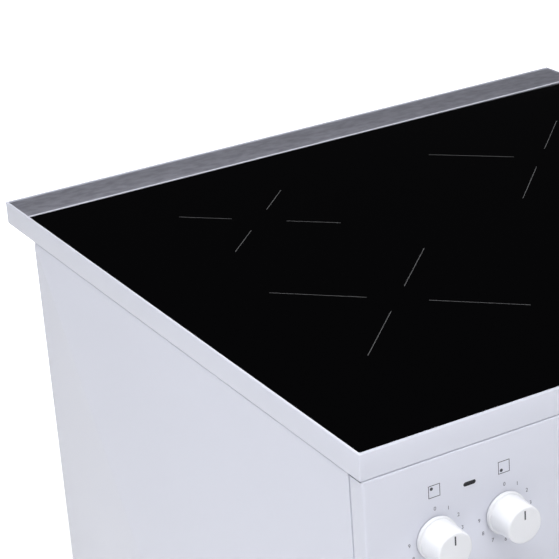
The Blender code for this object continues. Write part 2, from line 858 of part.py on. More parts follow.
def build_fan(liner, blanket):
    hub = Vector((0.0, FAN_MIDDLE, FAN_HEIGHT))
    through = Vector((0, 0.060, 0))
    cut(liner, rod("liner_shaft_hole", hub, hub + through, 0.006, sides=16))
    cut(blanket, rod("blanket_shaft_hole", hub, hub + through, 0.010, sides=16))
    fan = star("oven_fan", hub, FAN_RADIUS, 0.0016, -0.010, 0.006, STEEL, hub=0.016, along=(0, 1, 0))
    join(fan, rod("fan_shaft", hub, hub + Vector((0, 0.052, 0)), 0.004, sides=16))
    motor_front = CAVITY_REAR + SHEET + WOOL + 0.001
    motor = rod(
        "fan_motor",
        (0, motor_front, FAN_HEIGHT),
        (0, motor_front + MOTOR_LENGTH, FAN_HEIGHT),
        MOTOR_RADIUS,
        GALVANISED,
    )
    cut(motor, rod("motor_bore", hub, hub + Vector((0, 0.055, 0)), 0.0045, sides=16))
    baffle = block(
        "fan_cover",
        (-BAFFLE_HALF, BAFFLE_FRONT, FAN_HEIGHT - BAFFLE_RISE),
        (BAFFLE_HALF, CAVITY_REAR - 0.0005, FAN_HEIGHT + BAFFLE_RISE),
        GREY_ENAMEL,
    )
    cut(
        baffle,
        block(
            "fan_space",
            (-BAFFLE_HALF + SHEET, BAFFLE_FRONT + SHEET, FAN_HEIGHT - BAFFLE_RISE + SHEET),
            (BAFFLE_HALF - SHEET, CAVITY_REAR + CUT, FAN_HEIGHT + BAFFLE_RISE - SHEET),
        ),
        slots(
            "fan_grille",
            (-0.045, BAFFLE_FRONT - CUT, FAN_HEIGHT - 0.047),
            (0.045, BAFFLE_FRONT + CUT, FAN_HEIGHT - 0.041),
            8,
            (0, 0, 0.0126),
        ),
    )


def build_elements():
    """One heating rod that runs to and fro under the oven's roof, from the rear wall."""
    height = CAVITY_TOP - 0.020
    near, far = CAVITY_FRONT + 0.060, CAVITY_REAR - 0.050
    wall = CAVITY_REAR - 0.0008
    runs = 2 * ELEMENT_LOOPS
    spacing = 2 * ELEMENT_HALF / (runs - 1)
    bend = spacing / 2
    points = [(-ELEMENT_HALF, wall, height)]
    for run in range(runs):
        across = -ELEMENT_HALF + run * spacing
        start, end = (far, near) if run % 2 == 0 else (near, far)
        towards = 1 if end > start else -1
        turn = end - towards * bend
        points.append((across, start, height))
        points.append((across, turn, height))
        if run == runs - 1:
            break
        for step in range(1, 6):
            angle = math.pi * step / 6
            x = across + bend - bend * math.cos(angle)
            y = turn + towards * bend * math.sin(angle)
            points.append((x, y, height))
    points.append((ELEMENT_HALF, wall, height))
    tube("grill_element", points, ELEMENT_RADIUS, ELEMENT)


def build_racks():
    """A wire rack on each side wall, and the shelf that rests on their second runners."""
    front, back = CAVITY_FRONT + 0.030, BAFFLE_FRONT - 0.012
    post_low, post_high = CAVITY_BOTTOM + 0.030, CAVITY_TOP - 0.040
    for side, name in ((-1, "left_shelf_rack"), (1, "right_shelf_rack")):
        wall = side * (CAVITY_HALF - WIRE - 0.001)
        runner = side * (CAVITY_HALF - 0.016)
        rods = [((wall, y, post_low), (wall, y, post_high)) for y in (front, back)]
        for level in range(RACK_LEVELS):
            height = CAVITY_BOTTOM + 0.050 + RACK_PITCH * level
            rods.append(((runner, front - 0.005, height), (runner, back + 0.005, height)))
            for y in (front + 0.0006, back - 0.0006):
                start = (wall + side * 0.0007, y, height - 0.0008)
                end = (runner - side * 0.0007, y, height - 0.0008)
                rods.append((start, end))
        lattice(name, rods, WIRE, CHROME)
    height = SHELF_HEIGHT + 2 * WIRE + 2 * GAP
    rods = []
    for x in (-SHELF_HALF + 0.006, SHELF_HALF - 0.006):
        rods.append(((x, front + 0.004, height), (x, back - 0.004, height)))
    first, last = front + 0.008, back - 0.008
    for number in range(SHELF_WIRES):
        y = first + (last - first) * number / (SHELF_WIRES - 1)
        rods.append(((-SHELF_HALF, y, height + 0.0013), (SHELF_HALF, y, height + 0.0013)))
    lattice("wire_shelf", rods, WIRE * 0.9, CHROME)


def build_door_seal():
    """A rubber tube around the oven's mouth, on the face."""
    middle = FACE_FRONT - SEAL_RADIUS - 0.0006
    reach = CAVITY_HALF + SEAL_MARGIN - SEAL_CORNER
    low = CAVITY_BOTTOM - SEAL_MARGIN + SEAL_CORNER
    high = CAVITY_TOP + SEAL_MARGIN - SEAL_CORNER
    points = []
    for x, z, start in ((reach, high, 0.0), (-reach, high, 0.5), (-reach, low, 1.0), (reach, low, 1.5)):
        for step in range(5):
            angle = math.pi * (start + step / 8)
            points.append(
                (x + SEAL_CORNER * math.cos(angle), middle, z + SEAL_CORNER * math.sin(angle))
            )
    tube("door_seal", points, SEAL_RADIUS, RUBBER, resolution=1, closed=True)


# ---- Door and drawer -------------------------------------------------------------------


def build_door():
    axis = (0.0, DOOR_AXIS_Y, DOOR_AXIS_Z)
    skin = block(
        "door_skin",
        (-FRONT_HALF, FRONT, DOOR_BOTTOM),
        (FRONT_HALF, FRONT + FRONT_DEPTH, DOOR_TOP),
        WHITE,
        bevel=0.0012,
        origin=axis,
    )
    window_low = (-WINDOW_HALF, FRONT - CUT, WINDOW_LOW)
    window_high = (WINDOW_HALF, FRONT + FRONT_DEPTH + CUT, WINDOW_HIGH)
    cut(
        skin,
        block(
            "skin_hollow",
            (-FRONT_HALF + SHEET, FRONT + SHEET, DOOR_BOTTOM + SHEET),
            (FRONT_HALF - SHEET, FRONT + FRONT_DEPTH + CUT, DOOR_TOP - SHEET),
        ),
        block("skin_window", window_low, window_high),
    )
    block(
        "door_outer_glass",
        (-WINDOW_HALF + GAP, FRONT + 0.0004, WINDOW_LOW + GAP),
        (WINDOW_HALF - GAP, FRONT + 0.0044, WINDOW_HIGH - GAP),
        BLACK_GLASS,
        bevel=0.0003,
        origin=axis,
    )
    liner_low = (-LINER_HALF, FRONT + FRONT_DEPTH + GAP, DOOR_AXIS_Z + 0.012)
    liner_high = (LINER_HALF, LINER_REAR, DOOR_TOP - 0.012)
    liner = block("door_liner", liner_low, liner_high, GREY_ENAMEL, bevel=0.002, origin=axis)
    inner_half, inner_low, inner_high = 0.190, WINDOW_LOW + 0.020, WINDOW_HIGH - 0.005
    cut(
        liner,
        block(
            "liner_hollow",
            Vector(liner_low) + Vector((SHEET, -CUT, SHEET)),
            Vector(liner_high) - Vector((SHEET, SHEET, SHEET)),
        ),
        block(
            "liner_window",
            (-inner_half, FRONT + CUT, inner_low),
            (inner_half, LINER_REAR + CUT, inner_high),
        ),
    )
    block(
        "door_inner_glass",
        (-inner_half - 0.010, LINER_REAR - SHEET - GAP - GLASS, inner_low - 0.010),
        (inner_half + 0.010, LINER_REAR - SHEET - GAP, inner_high + 0.010),
        CLEAR_GLASS,
        origin=axis,
    )
    bar_y = FRONT - HANDLE_REACH + HANDLE_RADIUS
    handle = rod(
        "door_handle",
        (-HANDLE_HALF, bar_y, HANDLE_HEIGHT),
        (HANDLE_HALF, bar_y, HANDLE_HEIGHT),
        HANDLE_RADIUS,
        STEEL,
        sides=20,
        origin=axis,
    )
    for side in (-1, 1):
        across = side * (HANDLE_HALF - 0.025)
        join(
            handle,
            rod(
                f"handle_post_{side + 1}",
                (across, bar_y, HANDLE_HEIGHT),
                (across, FRONT - GAP, HANDLE_HEIGHT),
                0.0065,
                sides=16,
            ),
        )
    for side, name in ((-1, "left_door_hinge"), (1, "right_door_hinge")):
        build_hinge(name, side * HINGE_ACROSS, skin)


def build_hinge(name, across, skin):
    """A bracket on the oven's face whose front end carries the door's pin."""
    half = BRACKET_THICKNESS / 2
    hinge = block(
        name,
        (across - half, DOOR_AXIS_Y - 0.0030, DOOR_AXIS_Z - 0.0026),
        (across + half, FACE_FRONT - GAP, DOOR_AXIS_Z + 0.0030),
        GALVANISED,
    )
    join(
        hinge,
        rod(
            f"{name}_pin",
            (across - PIN_HALF, DOOR_AXIS_Y, DOOR_AXIS_Z),
            (across + PIN_HALF, DOOR_AXIS_Y, DOOR_AXIS_Z),
            PIN_RADIUS,
            sides=12,
        ),
        block(
            f"{name}_foot",
            (across - 0.010, FACE_FRONT - 0.0030, DOOR_AXIS_Z - 0.0060),
            (across + 0.010, FACE_FRONT - GAP, DOOR_AXIS_Z + 0.0100),
        ),
    )
    cut(
        skin,
        block(
            f"{name}_notch",
            (across - PIN_HALF - 0.002, DOOR_AXIS_Y - 0.0050, DOOR_BOTTOM - CUT),
            (across + PIN_HALF + 0.002, FRONT + FRONT_DEPTH + CUT, DOOR_BOTTOM + 0.0040),
        ),
    )


def build_drawer():
    front = block(
        "drawer_front",
        (-FRONT_HALF, FRONT, DRAWER_BOTTOM),
        (FRONT_HALF, FRONT + FRONT_DEPTH, DRAWER_TOP),
        WHITE,
        bevel=0.0012,
    )
    cut(
        front,
        block(
            "front_hollow",
            (-FRONT_HALF + SHEET, FRONT + SHEET, DRAWER_BOTTOM + SHEET),
            (FRONT_HALF - SHEET, FRONT + FRONT_DEPTH + CUT, DRAWER_TOP - SHEET),
        ),
    )
    back = FRONT + FRONT_DEPTH + GAP
    box = block(
        "drawer_box",
        (-DRAWER_HALF, back, DRAWER_FLOOR),
        (DRAWER_HALF, back + DRAWER_DEPTH, DRAWER_RIM),
        GALVANISED,
    )
    cut(
        box,
        block(
            "drawer_space",
            (-DRAWER_HALF + SHEET, back + SHEET, DRAWER_FLOOR + SHEET),
            (DRAWER_HALF - SHEET, back + DRAWER_DEPTH - SHEET, DRAWER_RIM + CUT),
        ),
    )


clear_scene()
COOKER = new_collection("induction_cooker")
HELPERS = new_collection("cutters")

WHITE = finish("white_enamel", (0.80, 0.81, 0.84), 0.30)
WHITE_PLASTIC = finish("white_plastic", (0.82, 0.83, 0.86), 0.35)
BLACK_GLASS = finish("black_glass", (0.005, 0.005, 0.006), 0.06)
CLEAR_GLASS = finish("smoked_glass", (0.05, 0.05, 0.055), 0.05)
STEEL = finish("brushed_steel", (0.42, 0.42, 0.44), 0.35, 1.0)
CHROME = finish("chromed_wire", (0.60, 0.60, 0.62), 0.18, 1.0)
GALVANISED = finish("galvanised_steel", (0.50, 0.52, 0.54), 0.45, 1.0)
ALUMINIUM = finish("aluminium", (0.65, 0.65, 0.67), 0.40, 1.0)
COPPER = finish("copper_winding", (0.72, 0.35, 0.18), 0.40, 1.0)
GREY_ENAMEL = finish("grey_enamel", (0.10, 0.10, 0.11), 0.35)
DARK_PLASTIC = finish("dark_plastic", (0.03, 0.03, 0.035), 0.50)
RUBBER = finish("black_rubber", (0.02, 0.02, 0.02), 0.75)
ELEMENT = finish("heating_element", (0.12, 0.11, 0.11), 0.50, 0.6)
GREEN_BOARD = finish("circuit_board", (0.03, 0.16, 0.07), 0.45)
WOOL_FELT = finish("glass_wool", (0.70, 0.66, 0.50), 0.95)

build_hob()
build_coils()
build_electronics()
build_control_panel()
build_side_panels()
build_rear_and_base()
build_oven()
build_door()
build_drawer()
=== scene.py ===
"""Looks for the freestanding induction cooker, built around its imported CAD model.

Everything is in metres, in the CAD's frame: +X to the cooker's right, +Y to the rear, +Z up.
"""

import json
import math

import bmesh
import bpy
from mathutils import Matrix, Vector


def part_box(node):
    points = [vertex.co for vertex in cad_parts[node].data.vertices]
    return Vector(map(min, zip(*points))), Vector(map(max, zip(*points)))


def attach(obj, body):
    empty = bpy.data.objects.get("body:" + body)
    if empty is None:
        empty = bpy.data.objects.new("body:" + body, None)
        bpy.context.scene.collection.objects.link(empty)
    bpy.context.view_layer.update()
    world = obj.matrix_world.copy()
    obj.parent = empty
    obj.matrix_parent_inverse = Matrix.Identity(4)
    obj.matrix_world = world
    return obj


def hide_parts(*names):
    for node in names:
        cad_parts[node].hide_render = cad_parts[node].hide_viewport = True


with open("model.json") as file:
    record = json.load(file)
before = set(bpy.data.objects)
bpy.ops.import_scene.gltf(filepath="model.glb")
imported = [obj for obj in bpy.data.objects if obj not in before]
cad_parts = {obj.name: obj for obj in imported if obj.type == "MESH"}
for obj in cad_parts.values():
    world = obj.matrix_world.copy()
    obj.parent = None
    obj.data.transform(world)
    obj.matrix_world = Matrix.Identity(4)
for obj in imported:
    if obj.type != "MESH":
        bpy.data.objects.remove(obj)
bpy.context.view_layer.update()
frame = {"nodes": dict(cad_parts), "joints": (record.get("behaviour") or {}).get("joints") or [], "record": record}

MM = 0.001
SEAT = 0.3 * MM  # the gap that touching CAD pieces keep
PRINT = 0.06 * MM  # how far a printed mark stands out
SHARP = math.radians(32)

# ---- Places, all from the frame --------------------------------------------------------

HOB_LOW, HOB_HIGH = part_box("hob_frame")
GLASS_LOW, GLASS_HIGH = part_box("ceramic_glass")
STRIP_LOW, STRIP_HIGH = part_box("rear_strip")
PANEL_LOW, PANEL_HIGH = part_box("control_panel")
DOOR_LOW, DOOR_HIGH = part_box("door_skin")
DRAWER_LOW, DRAWER_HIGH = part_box("drawer_front")
FRONT = HOB_LOW.y
FACE = PANEL_LOW.y  # the control panel's face, which carries the print
SHEET = 1.2 * MM

KNOBS = {joint["child"]: Vector(joint["pos_m"]) for joint in frame["joints"]
    if joint["child"].endswith("_knob")}
HOB_KNOBS = ("rear_left_knob", "front_left_knob", "front_right_knob", "rear_right_knob")
ZONES = ("front_left", "rear_left", "rear_right", "front_right")


# ---- Mesh tools ------------------------------------------------------------------------


def span(node):
    """A CAD node's two corners and its middle."""
    low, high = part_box(node)
    return low, high, (low + high) / 2


def put(name, shape, material):
    """Makes an object from a bmesh. Its mesh is in the frame's own coordinates."""
    mesh = bpy.data.meshes.new(name)
    bmesh.ops.recalc_face_normals(shape, faces=shape.faces)
    shape.to_mesh(mesh)
    shape.free()
    obj = bpy.data.objects.new(name, mesh)
    bpy.context.scene.collection.objects.link(obj)
    if material:
        mesh.materials.append(material)
    return soften(obj)


def soften(obj):
    obj.data.shade_smooth()
    obj.data.set_sharp_from_angle(angle=SHARP)
    return obj


def block(name, low, high, material=None, radius=0.0, segments=4, upright=0.0):
    """A box with rounded edges. upright rounds the vertical edges further."""
    low, high = Vector(low), Vector(high)
    shape = bmesh.new()
    place = Matrix.LocRotScale((low + high) / 2, None, high - low)
    bmesh.ops.create_cube(shape, size=1.0, matrix=place)
    if upright:
        vertical = [e for e in shape.edges if abs((e.verts[0].co - e.verts[1].co).z) > 1e-9]
        bmesh.ops.bevel(shape, geom=vertical, offset=upright, segments=8, profile=0.5,
            affect="EDGES")
    if radius:
        edges = [e for e in shape.edges if e.calc_face_angle(0.0) > math.radians(40)]
        bmesh.ops.bevel(shape, geom=edges, offset=radius, segments=segments, profile=0.5,
            affect="EDGES")
    return put(name, shape, material)


def rod(name, start, end, radius, material=None, sides=48, rounding=0.0):
    start, end = Vector(start), Vector(end)
    along = end - start
    turn = along.to_track_quat("Z", "Y").to_matrix().to_4x4()
    shape = bmesh.new()
    bmesh.ops.create_cone(shape, cap_ends=True, segments=sides, radius1=radius, radius2=radius,
        depth=along.length, matrix=Matrix.Translation((start + end) / 2) @ turn)
    if rounding:
        rims = [e for e in shape.edges if e.calc_face_angle(0.0) > math.radians(60)]
        bmesh.ops.bevel(shape, geom=rims, offset=rounding, segments=4, profile=0.5, affect="EDGES")
    return put(name, shape, material)


def lathe(name, profile, centre, axis, material=None, steps=72):
    """A profile of (radius, height) points turned about an axis through centre."""
    turn = Vector(axis).to_track_quat("Z", "Y").to_matrix().to_4x4()
    shape = bmesh.new()
    points = [shape.verts.new((radius, 0.0, height)) for radius, height in profile]
    for first, second in zip(points, points[1:]):
        shape.edges.new((first, second))
    bmesh.ops.spin(shape, geom=list(shape.verts) + list(shape.edges), cent=(0, 0, 0),
        axis=(0, 0, 1), angle=2 * math.pi, steps=steps)
    bmesh.ops.remove_doubles(shape, verts=shape.verts, dist=1e-7)
    bmesh.ops.transform(shape, matrix=Matrix.Translation(centre) @ turn, verts=shape.verts)
    return put(name, shape, material)


def bent(points, radius, closed=False, steps=6):
    """The path through the points with its corners rounded."""
    points = [Vector(point) for point in points]
    path = []
    for number, point in enumerate(points):
        if not closed and number in (0, len(points) - 1):
            path.append(point)
            continue
        start = point + (points[number - 1] - point).normalized() * radius
        end = point + (points[(number + 1) % len(points)] - point).normalized() * radius
        for step in range(steps + 1):
            t = step / steps
            path.append(start * (1 - t) ** 2 + point * 2 * t * (1 - t) + end * t**2)
    return path


def tube(name, points, radius, material=None, closed=False, resolution=5):
    curve = bpy.data.curves.new(name, "CURVE")
    curve.dimensions = "3D"
    curve.bevel_depth = radius
    curve.bevel_resolution = resolution
    curve.use_fill_caps = True
    spline = curve.splines.new("POLY")
    spline.points.add(len(points) - 1)
    for place, point in zip(spline.points, points):
        place.co = (*point, 1.0)
    spline.use_cyclic_u = closed
    obj = bpy.data.objects.new(name, curve)
    bpy.context.scene.collection.objects.link(obj)
    return welded(as_mesh(obj, material))


def welded(obj):
    """Joins the loose caps that a curve's mesh has."""
    shape = bmesh.new()
    shape.from_mesh(obj.data)
    bmesh.ops.remove_doubles(shape, verts=shape.verts, dist=1e-6)
    bmesh.ops.recalc_face_normals(shape, faces=shape.faces)
    shape.to_mesh(obj.data)
    shape.free()
    return soften(obj)


def pressing(name, width, height, depth, corner, slope, place, material):
    """A raised pad with rounded corners and soft sides, in local XY and rising along Z."""
    shape = bmesh.new()
    rings = []
    for ring in range(7):
        t = ring / 6
        inset = slope * t
        rise = depth * (3 * t * t - 2 * t**3)
        radius = max(corner - inset, 0.2 * MM)
        reach_x, reach_y = width / 2 - inset - radius, height / 2 - inset - radius
        loop = []
        for quarter, (side_x, side_y) in enumerate(((1, 1), (-1, 1), (-1, -1), (1, -1))):
            for step in range(7):
                angle = math.pi / 2 * (quarter + step / 6)
                x = side_x * reach_x + radius * math.cos(angle)
                y = side_y * reach_y + radius * math.sin(angle)
                loop.append(shape.verts.new(place @ Vector((x, y, rise))))
        rings.append(loop)
    for lower, upper in zip(rings, rings[1:]):
        for number in range(len(lower)):
            after = (number + 1) % len(lower)
            shape.faces.new((lower[number], lower[after], upper[after], upper[number]))
    shape.faces.new(rings[-1])
    shape.faces.new(list(reversed(rings[0])))
    return put(name, shape, material)


def repeat(name, source, places):
    """One piece made of copies of source, one at each place. The source is used up."""
    shape = bmesh.new()
    for place in places:
        copy = source.data.copy()
        copy.transform(place)
        shape.from_mesh(copy)
        bpy.data.meshes.remove(copy)
    material = source.data.materials[0]
    bpy.data.objects.remove(source)
    return put(name, shape, material)


def screws(name, seats, out, radius, body):
    """Pan-head screws with a cross recess, facing along out and riding on a body."""
    material = MATERIALS["chromed_wire"]
    height = radius * 0.55
    profile = [(0.0, height)]
    for step in range(1, 7):
        angle = math.pi / 2 * step / 6
        profile.append((radius * math.sin(angle), height * (0.35 + 0.65 * math.cos(angle))))
    profile += [(radius, 0.0), (0.0, 0.0)]
    head = lathe(f"{name}_head", profile, Vector(), (0, 0, 1), material, steps=32)
    arm, slit = radius * 0.55, radius * 0.14
    cross = [block(f"{name}_slit_{wide > slit}", (-wide, -deep, height * 0.45),
        (wide, deep, 2 * height)) for wide, deep in ((arm, slit), (slit, arm))]
    head = carve(head, *cross)
    turn = Vector(out).to_track_quat("Z", "Y").to_matrix().to_4x4()
    heads = repeat(name, head, [Matrix.Translation(seat) @ turn for seat in seats])
    stands_for(heads, "chromed_wire", body)


def as_mesh(obj, material=None):
    """The object with its modifiers, or its curve, turned into a plain mesh at the origin."""
    bpy.context.view_layer.update()
    graph = bpy.context.evaluated_depsgraph_get()
    mesh = bpy.data.meshes.new_from_object(obj.evaluated_get(graph))
    mesh.transform(obj.matrix_world)
    name = obj.name
    material = material or (obj.data.materials[0] if obj.data.materials else None)
    bpy.data.objects.remove(obj)
    mesh.materials.clear()
    if material:
        mesh.materials.append(material)
    made = bpy.data.objects.new(name, mesh)
    bpy.context.scene.collection.objects.link(made)
    return soften(made)


def carve(obj, *others, operation="DIFFERENCE"):
    """obj with the others cut out of it, or joined to it. The others are used up."""
    for other in others:
        step = obj.modifiers.new(other.name, "BOOLEAN")
        step.operation = operation
        step.solver = "EXACT"
        step.object = other
    made = as_mesh(obj)
    for other in others:
        bpy.data.objects.remove(other)
    return made


def merge(name, objects):
    """Several objects as one piece, with the first one's material on all of it."""
    shape = bmesh.new()
    for obj in objects:
        shape.from_mesh(obj.data)
    material = objects[0].data.materials[0]
    for obj in objects:
        bpy.data.objects.remove(obj)
    for face in shape.faces:
        face.material_index = 0
    mesh = bpy.data.meshes.new(name)
    shape.to_mesh(mesh)
    shape.free()
    made = bpy.data.objects.new(name, mesh)
    bpy.context.scene.collection.objects.link(made)
    mesh.materials.append(material)
    return soften(made)


def stands_for(obj, slot, body, *nodes):
    """obj takes the place of CAD nodes on one body."""
    if nodes:
        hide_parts(*nodes)
    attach(obj, body)
    return obj


# ---- Materials -------------------------------------------------------------------------

NOISE_LOW, NOISE_HIGH = 0.3, 0.7  # nearly all of a noise lies between these


def set_stops(ramp, stops):
    """Gives a colour ramp its (place, colour) stops, in rising order."""
    ramp.elements.remove(ramp.elements[1])
    (place, colour), *rest = stops
    ramp.elements[0].position = place
    ramp.elements[0].color = (*colour, 1.0)
    for place, colour in rest:
        ramp.elements.new(place).color = (*colour, 1.0)


def dial(node, **values):
    """Sets a node's inputs, named with _ for a space."""
    for socket, value in values.items():
        node.inputs[socket.replace("_", " ")].default_value = value
    return node


class Finish:
    """A Principled material with helpers for its detail, in object coordinates."""

    def __init__(self, name, colour, roughness, metallic=0.0, **sockets):
        self.material = bpy.data.materials.new(name)
        self.material.use_nodes = True
        self.tree = self.material.node_tree
        self.shader = self.tree.nodes["Principled BSDF"]
        sockets.update(Base_Color=(*colour, 1.0), Roughness=roughness, Metallic=metallic)
        dial(self.shader, **sockets)
        self.height = None

    def node(self, kind, **values):
        made = self.tree.nodes.new(kind)
        for key, value in values.items():
            setattr(made, key, value)
        return made

    def link(self, source, target):
        self.tree.links.new(source, target)

    def noise(self, scale, detail=3.0, stretch=(1, 1, 1)):
        place = self.node("ShaderNodeTexCoord")
        turn = dial(self.node("ShaderNodeMapping"), Scale=stretch)
        made = dial(self.node("ShaderNodeTexNoise"), Scale=scale, Detail=detail)
        self.link(place.outputs["Object"], turn.inputs["Vector"])
        self.link(turn.outputs["Vector"], made.inputs["Vector"])
        return made.outputs["Fac"]

    def ramp(self, value, *stops):
        made = self.node("ShaderNodeValToRGB")
        set_stops(made.color_ramp, stops)
        self.link(value, made.inputs["Fac"])
        return made.outputs["Color"]

    def tint(self, value, low, high, start=NOISE_LOW, end=NOISE_HIGH):
        """The base colour runs between two shades with a value."""
        self.link(self.ramp(value, (start, low), (end, high)), self.shader.inputs["Base Color"])
        return self

    def rough(self, value, low, high):
        spread = self.node("ShaderNodeMapRange")
        dial(spread, From_Min=NOISE_LOW, From_Max=NOISE_HIGH, To_Min=low, To_Max=high)
        self.link(value, spread.inputs["Value"])
        self.link(spread.outputs["Result"], self.shader.inputs["Roughness"])
        return self

    def bump(self, value, distance, strength=1.0):
        made = dial(self.node("ShaderNodeBump"), Distance=distance, Strength=strength)
        self.link(value, made.inputs["Height"])
        if self.height:
            self.link(self.height, made.inputs["Normal"])
        self.height = made.outputs["Normal"]
        self.link(self.height, self.shader.inputs["Normal"])
        return self


def enamel(name, colour, roughness, peel=0.003 * MM):
    """Fired enamel: a glossy coat over white, with faint orange peel."""
    made = Finish(name, colour, roughness, Coat_Weight=0.30, Coat_Roughness=0.10)
    shade = tuple(c * 0.985 for c in colour)
    made.tint(made.noise(6.0, 2.0), shade, colour)
    made.rough(made.noise(16.0), roughness * 0.96, roughness * 1.04)
    made.bump(made.noise(420.0, 1.0), peel)
    return made.material


def brushed(name, colour, roughness, along=(1, 60, 60)):
    """Brushed steel, with its grain along the axis that is stretched least, and faint blotches."""
    made = Finish(name, colour, roughness, metallic=1.0)
    grain = made.noise(60.0, 6.0, along)
    cloud = made.noise(34.0, 5.0, (1, 1.3, 1.3))
    both = made.node("ShaderNodeMath", operation="MULTIPLY_ADD")
    both.inputs[1].default_value = 0.45
    made.link(grain, both.inputs[0])
    share = made.node("ShaderNodeMath", operation="MULTIPLY")
    share.inputs[1].default_value = 0.55
    made.link(cloud, share.inputs[0])
    made.link(share.outputs["Value"], both.inputs[2])
    dull = tuple(c * 0.9 for c in colour)
    made.tint(both.outputs["Value"], dull, colour, 0.35, 0.65)
    made.rough(cloud, roughness * 0.9, roughness * 1.12)
    made.bump(grain, 0.008 * MM, 0.5)
    return made.material


def satin_steel():
    """Finely ground steel for the handle."""
    made = Finish("handle_steel", (0.58, 0.58, 0.60), 0.36, metallic=1.0)
    grain = made.noise(900.0, 2.0, (0.05, 1, 1))
    made.tint(grain, (0.54, 0.54, 0.56), (0.62, 0.62, 0.64))
    made.rough(made.noise(20.0), 0.33, 0.39)
    return made.material


def strip_steel():
    """Worn stainless steel, mottled along its length."""
    made = Finish("strip_steel", (0.38, 0.385, 0.44), 0.52, metallic=0.75)
    streaks = made.noise(90.0, 9.0, (1, 1.9, 1.9))
    made.tint(streaks, (0.330, 0.333, 0.385), (0.430, 0.433, 0.495), 0.36, 0.64)
    made.rough(made.noise(30.0, 5.0, (1, 2, 2)), 0.47, 0.57)
    made.bump(made.noise(160.0, 6.0, (1, 14, 14)), 0.008 * MM, 0.5)
    return made.material


def black_glass():
    made = Finish("black_glass", (0.0012, 0.0012, 0.0014), 0.05, Specular_IOR_Level=0.32)
    made.rough(made.noise(30.0), 0.04, 0.06)
    return made.material


def smoked_glass():
    made = Finish("smoked_glass", (0.10, 0.10, 0.11), 0.03, Transmission_Weight=1.0)
    made.rough(made.noise(30.0), 0.02, 0.05)
    return made.material


def zinc():
    """Galvanised sheet with its spangle."""
    made = Finish("galvanised_steel", (0.55, 0.57, 0.59), 0.42, metallic=1.0)
    place = made.node("ShaderNodeTexCoord")
    cells = dial(made.node("ShaderNodeTexVoronoi"), Scale=130.0)
    made.link(place.outputs["Object"], cells.inputs["Vector"])
    grey = made.node("ShaderNodeSeparateColor")
    made.link(cells.outputs["Color"], grey.inputs["Color"])
    made.tint(grey.outputs["Red"], (0.50, 0.52, 0.54), (0.60, 0.62, 0.64), 0.0, 1.0)
    made.rough(grey.outputs["Green"], 0.40, 0.48)
    return made.material


def plastic(name, colour, roughness, grain=500.0):
    made = Finish(name, colour, roughness)
    shade = tuple(c * 0.94 for c in colour)
    made.tint(made.noise(14.0), shade, colour)
    made.rough(made.noise(60.0), roughness * 0.9, roughness * 1.15)
    made.bump(made.noise(grain, 2.0), 0.01 * MM)
    return made.material


def speckled(name, colour, speck, roughness):
    """Dark oven enamel with pale specks."""
    made = Finish(name, colour, roughness, Coat_Weight=0.3, Coat_Roughness=0.15)
    made.tint(made.noise(1100.0, 1.0), colour, speck, 0.66, 0.74)
    made.bump(made.noise(500.0), 0.015 * MM)
    return made.material


def winding():
    """Lacquered litz wire: fine diagonal strands over copper."""
    made = Finish("copper_winding", (0.62, 0.27, 0.12), 0.32, metallic=0.9)
    strands = made.noise(700.0, 3.0, (1, 1, 4))
    made.tint(strands, (0.38, 0.14, 0.06), (0.72, 0.34, 0.16))
    made.bump(strands, 0.05 * MM)
    return made.material


def heater():
    made = Finish("heating_element", (0.10, 0.09, 0.085), 0.5, metallic=0.7)
    scale = made.noise(45.0, 5.0)
    made.tint(scale, (0.05, 0.045, 0.045), (0.16, 0.13, 0.11))
    made.rough(scale, 0.40, 0.65)
    made.bump(made.noise(900.0), 0.03 * MM)
    return made.material


def board():
    made = Finish("circuit_board", (0.02, 0.14, 0.06), 0.35)
    place = made.node("ShaderNodeTexCoord")
    tracks = made.node("ShaderNodeTexBrick")
    dial(tracks, Scale=45.0, Mortar_Size=0.03, Mortar=(0.05, 0.26, 0.11, 1))
    dial(tracks, Color1=(0.015, 0.12, 0.05, 1), Color2=(0.025, 0.17, 0.07, 1))
    made.link(place.outputs["Object"], tracks.inputs["Vector"])
    made.link(tracks.outputs["Color"], made.shader.inputs["Base Color"])
    return made.material


def wool():
    made = Finish("glass_wool", (0.66, 0.60, 0.42), 0.95, Sheen_Weight=0.3)
    fibres = made.noise(160.0, 8.0, (1, 1, 5))
    made.tint(fibres, (0.50, 0.44, 0.28), (0.74, 0.69, 0.52))
    made.bump(fibres, 1.2 * MM)
    return made.material


def glow(name, colour, strength):
    made = Finish(name, colour, 0.4)
    dial(made.shader, Emission_Color=(*colour, 1.0), Emission_Strength=strength)
    return made.material


WHITE = enamel("white_enamel", (0.66, 0.675, 0.755), 0.30)
MATERIALS = {"white_enamel": WHITE,
    "white_plastic": plastic("white_plastic", (0.80, 0.81, 0.84), 0.30),
    "black_glass": black_glass(), "smoked_glass": smoked_glass(),
    "brushed_steel": brushed("brushed_steel", (0.60, 0.60, 0.635), 0.46),
    "chromed_wire": brushed("chromed_wire", (0.66, 0.66, 0.68), 0.16), "galvanised_steel": zinc(),
    "aluminium": brushed("aluminium", (0.66, 0.67, 0.69), 0.38, (1, 20, 20)),
    "copper_winding": winding(),
    "grey_enamel": speckled("grey_enamel", (0.045, 0.046, 0.050), (0.20, 0.20, 0.21), 0.30),
    "dark_plastic": plastic("dark_plastic", (0.022, 0.022, 0.024), 0.48),
    "black_rubber": plastic("black_rubber", (0.014, 0.014, 0.014), 0.72, 250.0),
    "heating_element": heater(), "circuit_board": board(), "glass_wool": wool()}
PLASTIC = MATERIALS["white_plastic"]
CHROME = MATERIALS["chromed_wire"]
ZINC = MATERIALS["galvanised_steel"]
DARK = MATERIALS["dark_plastic"]
GREY = MATERIALS["grey_enamel"]
STEEL = MATERIALS["brushed_steel"]
RUBBER = MATERIALS["black_rubber"]
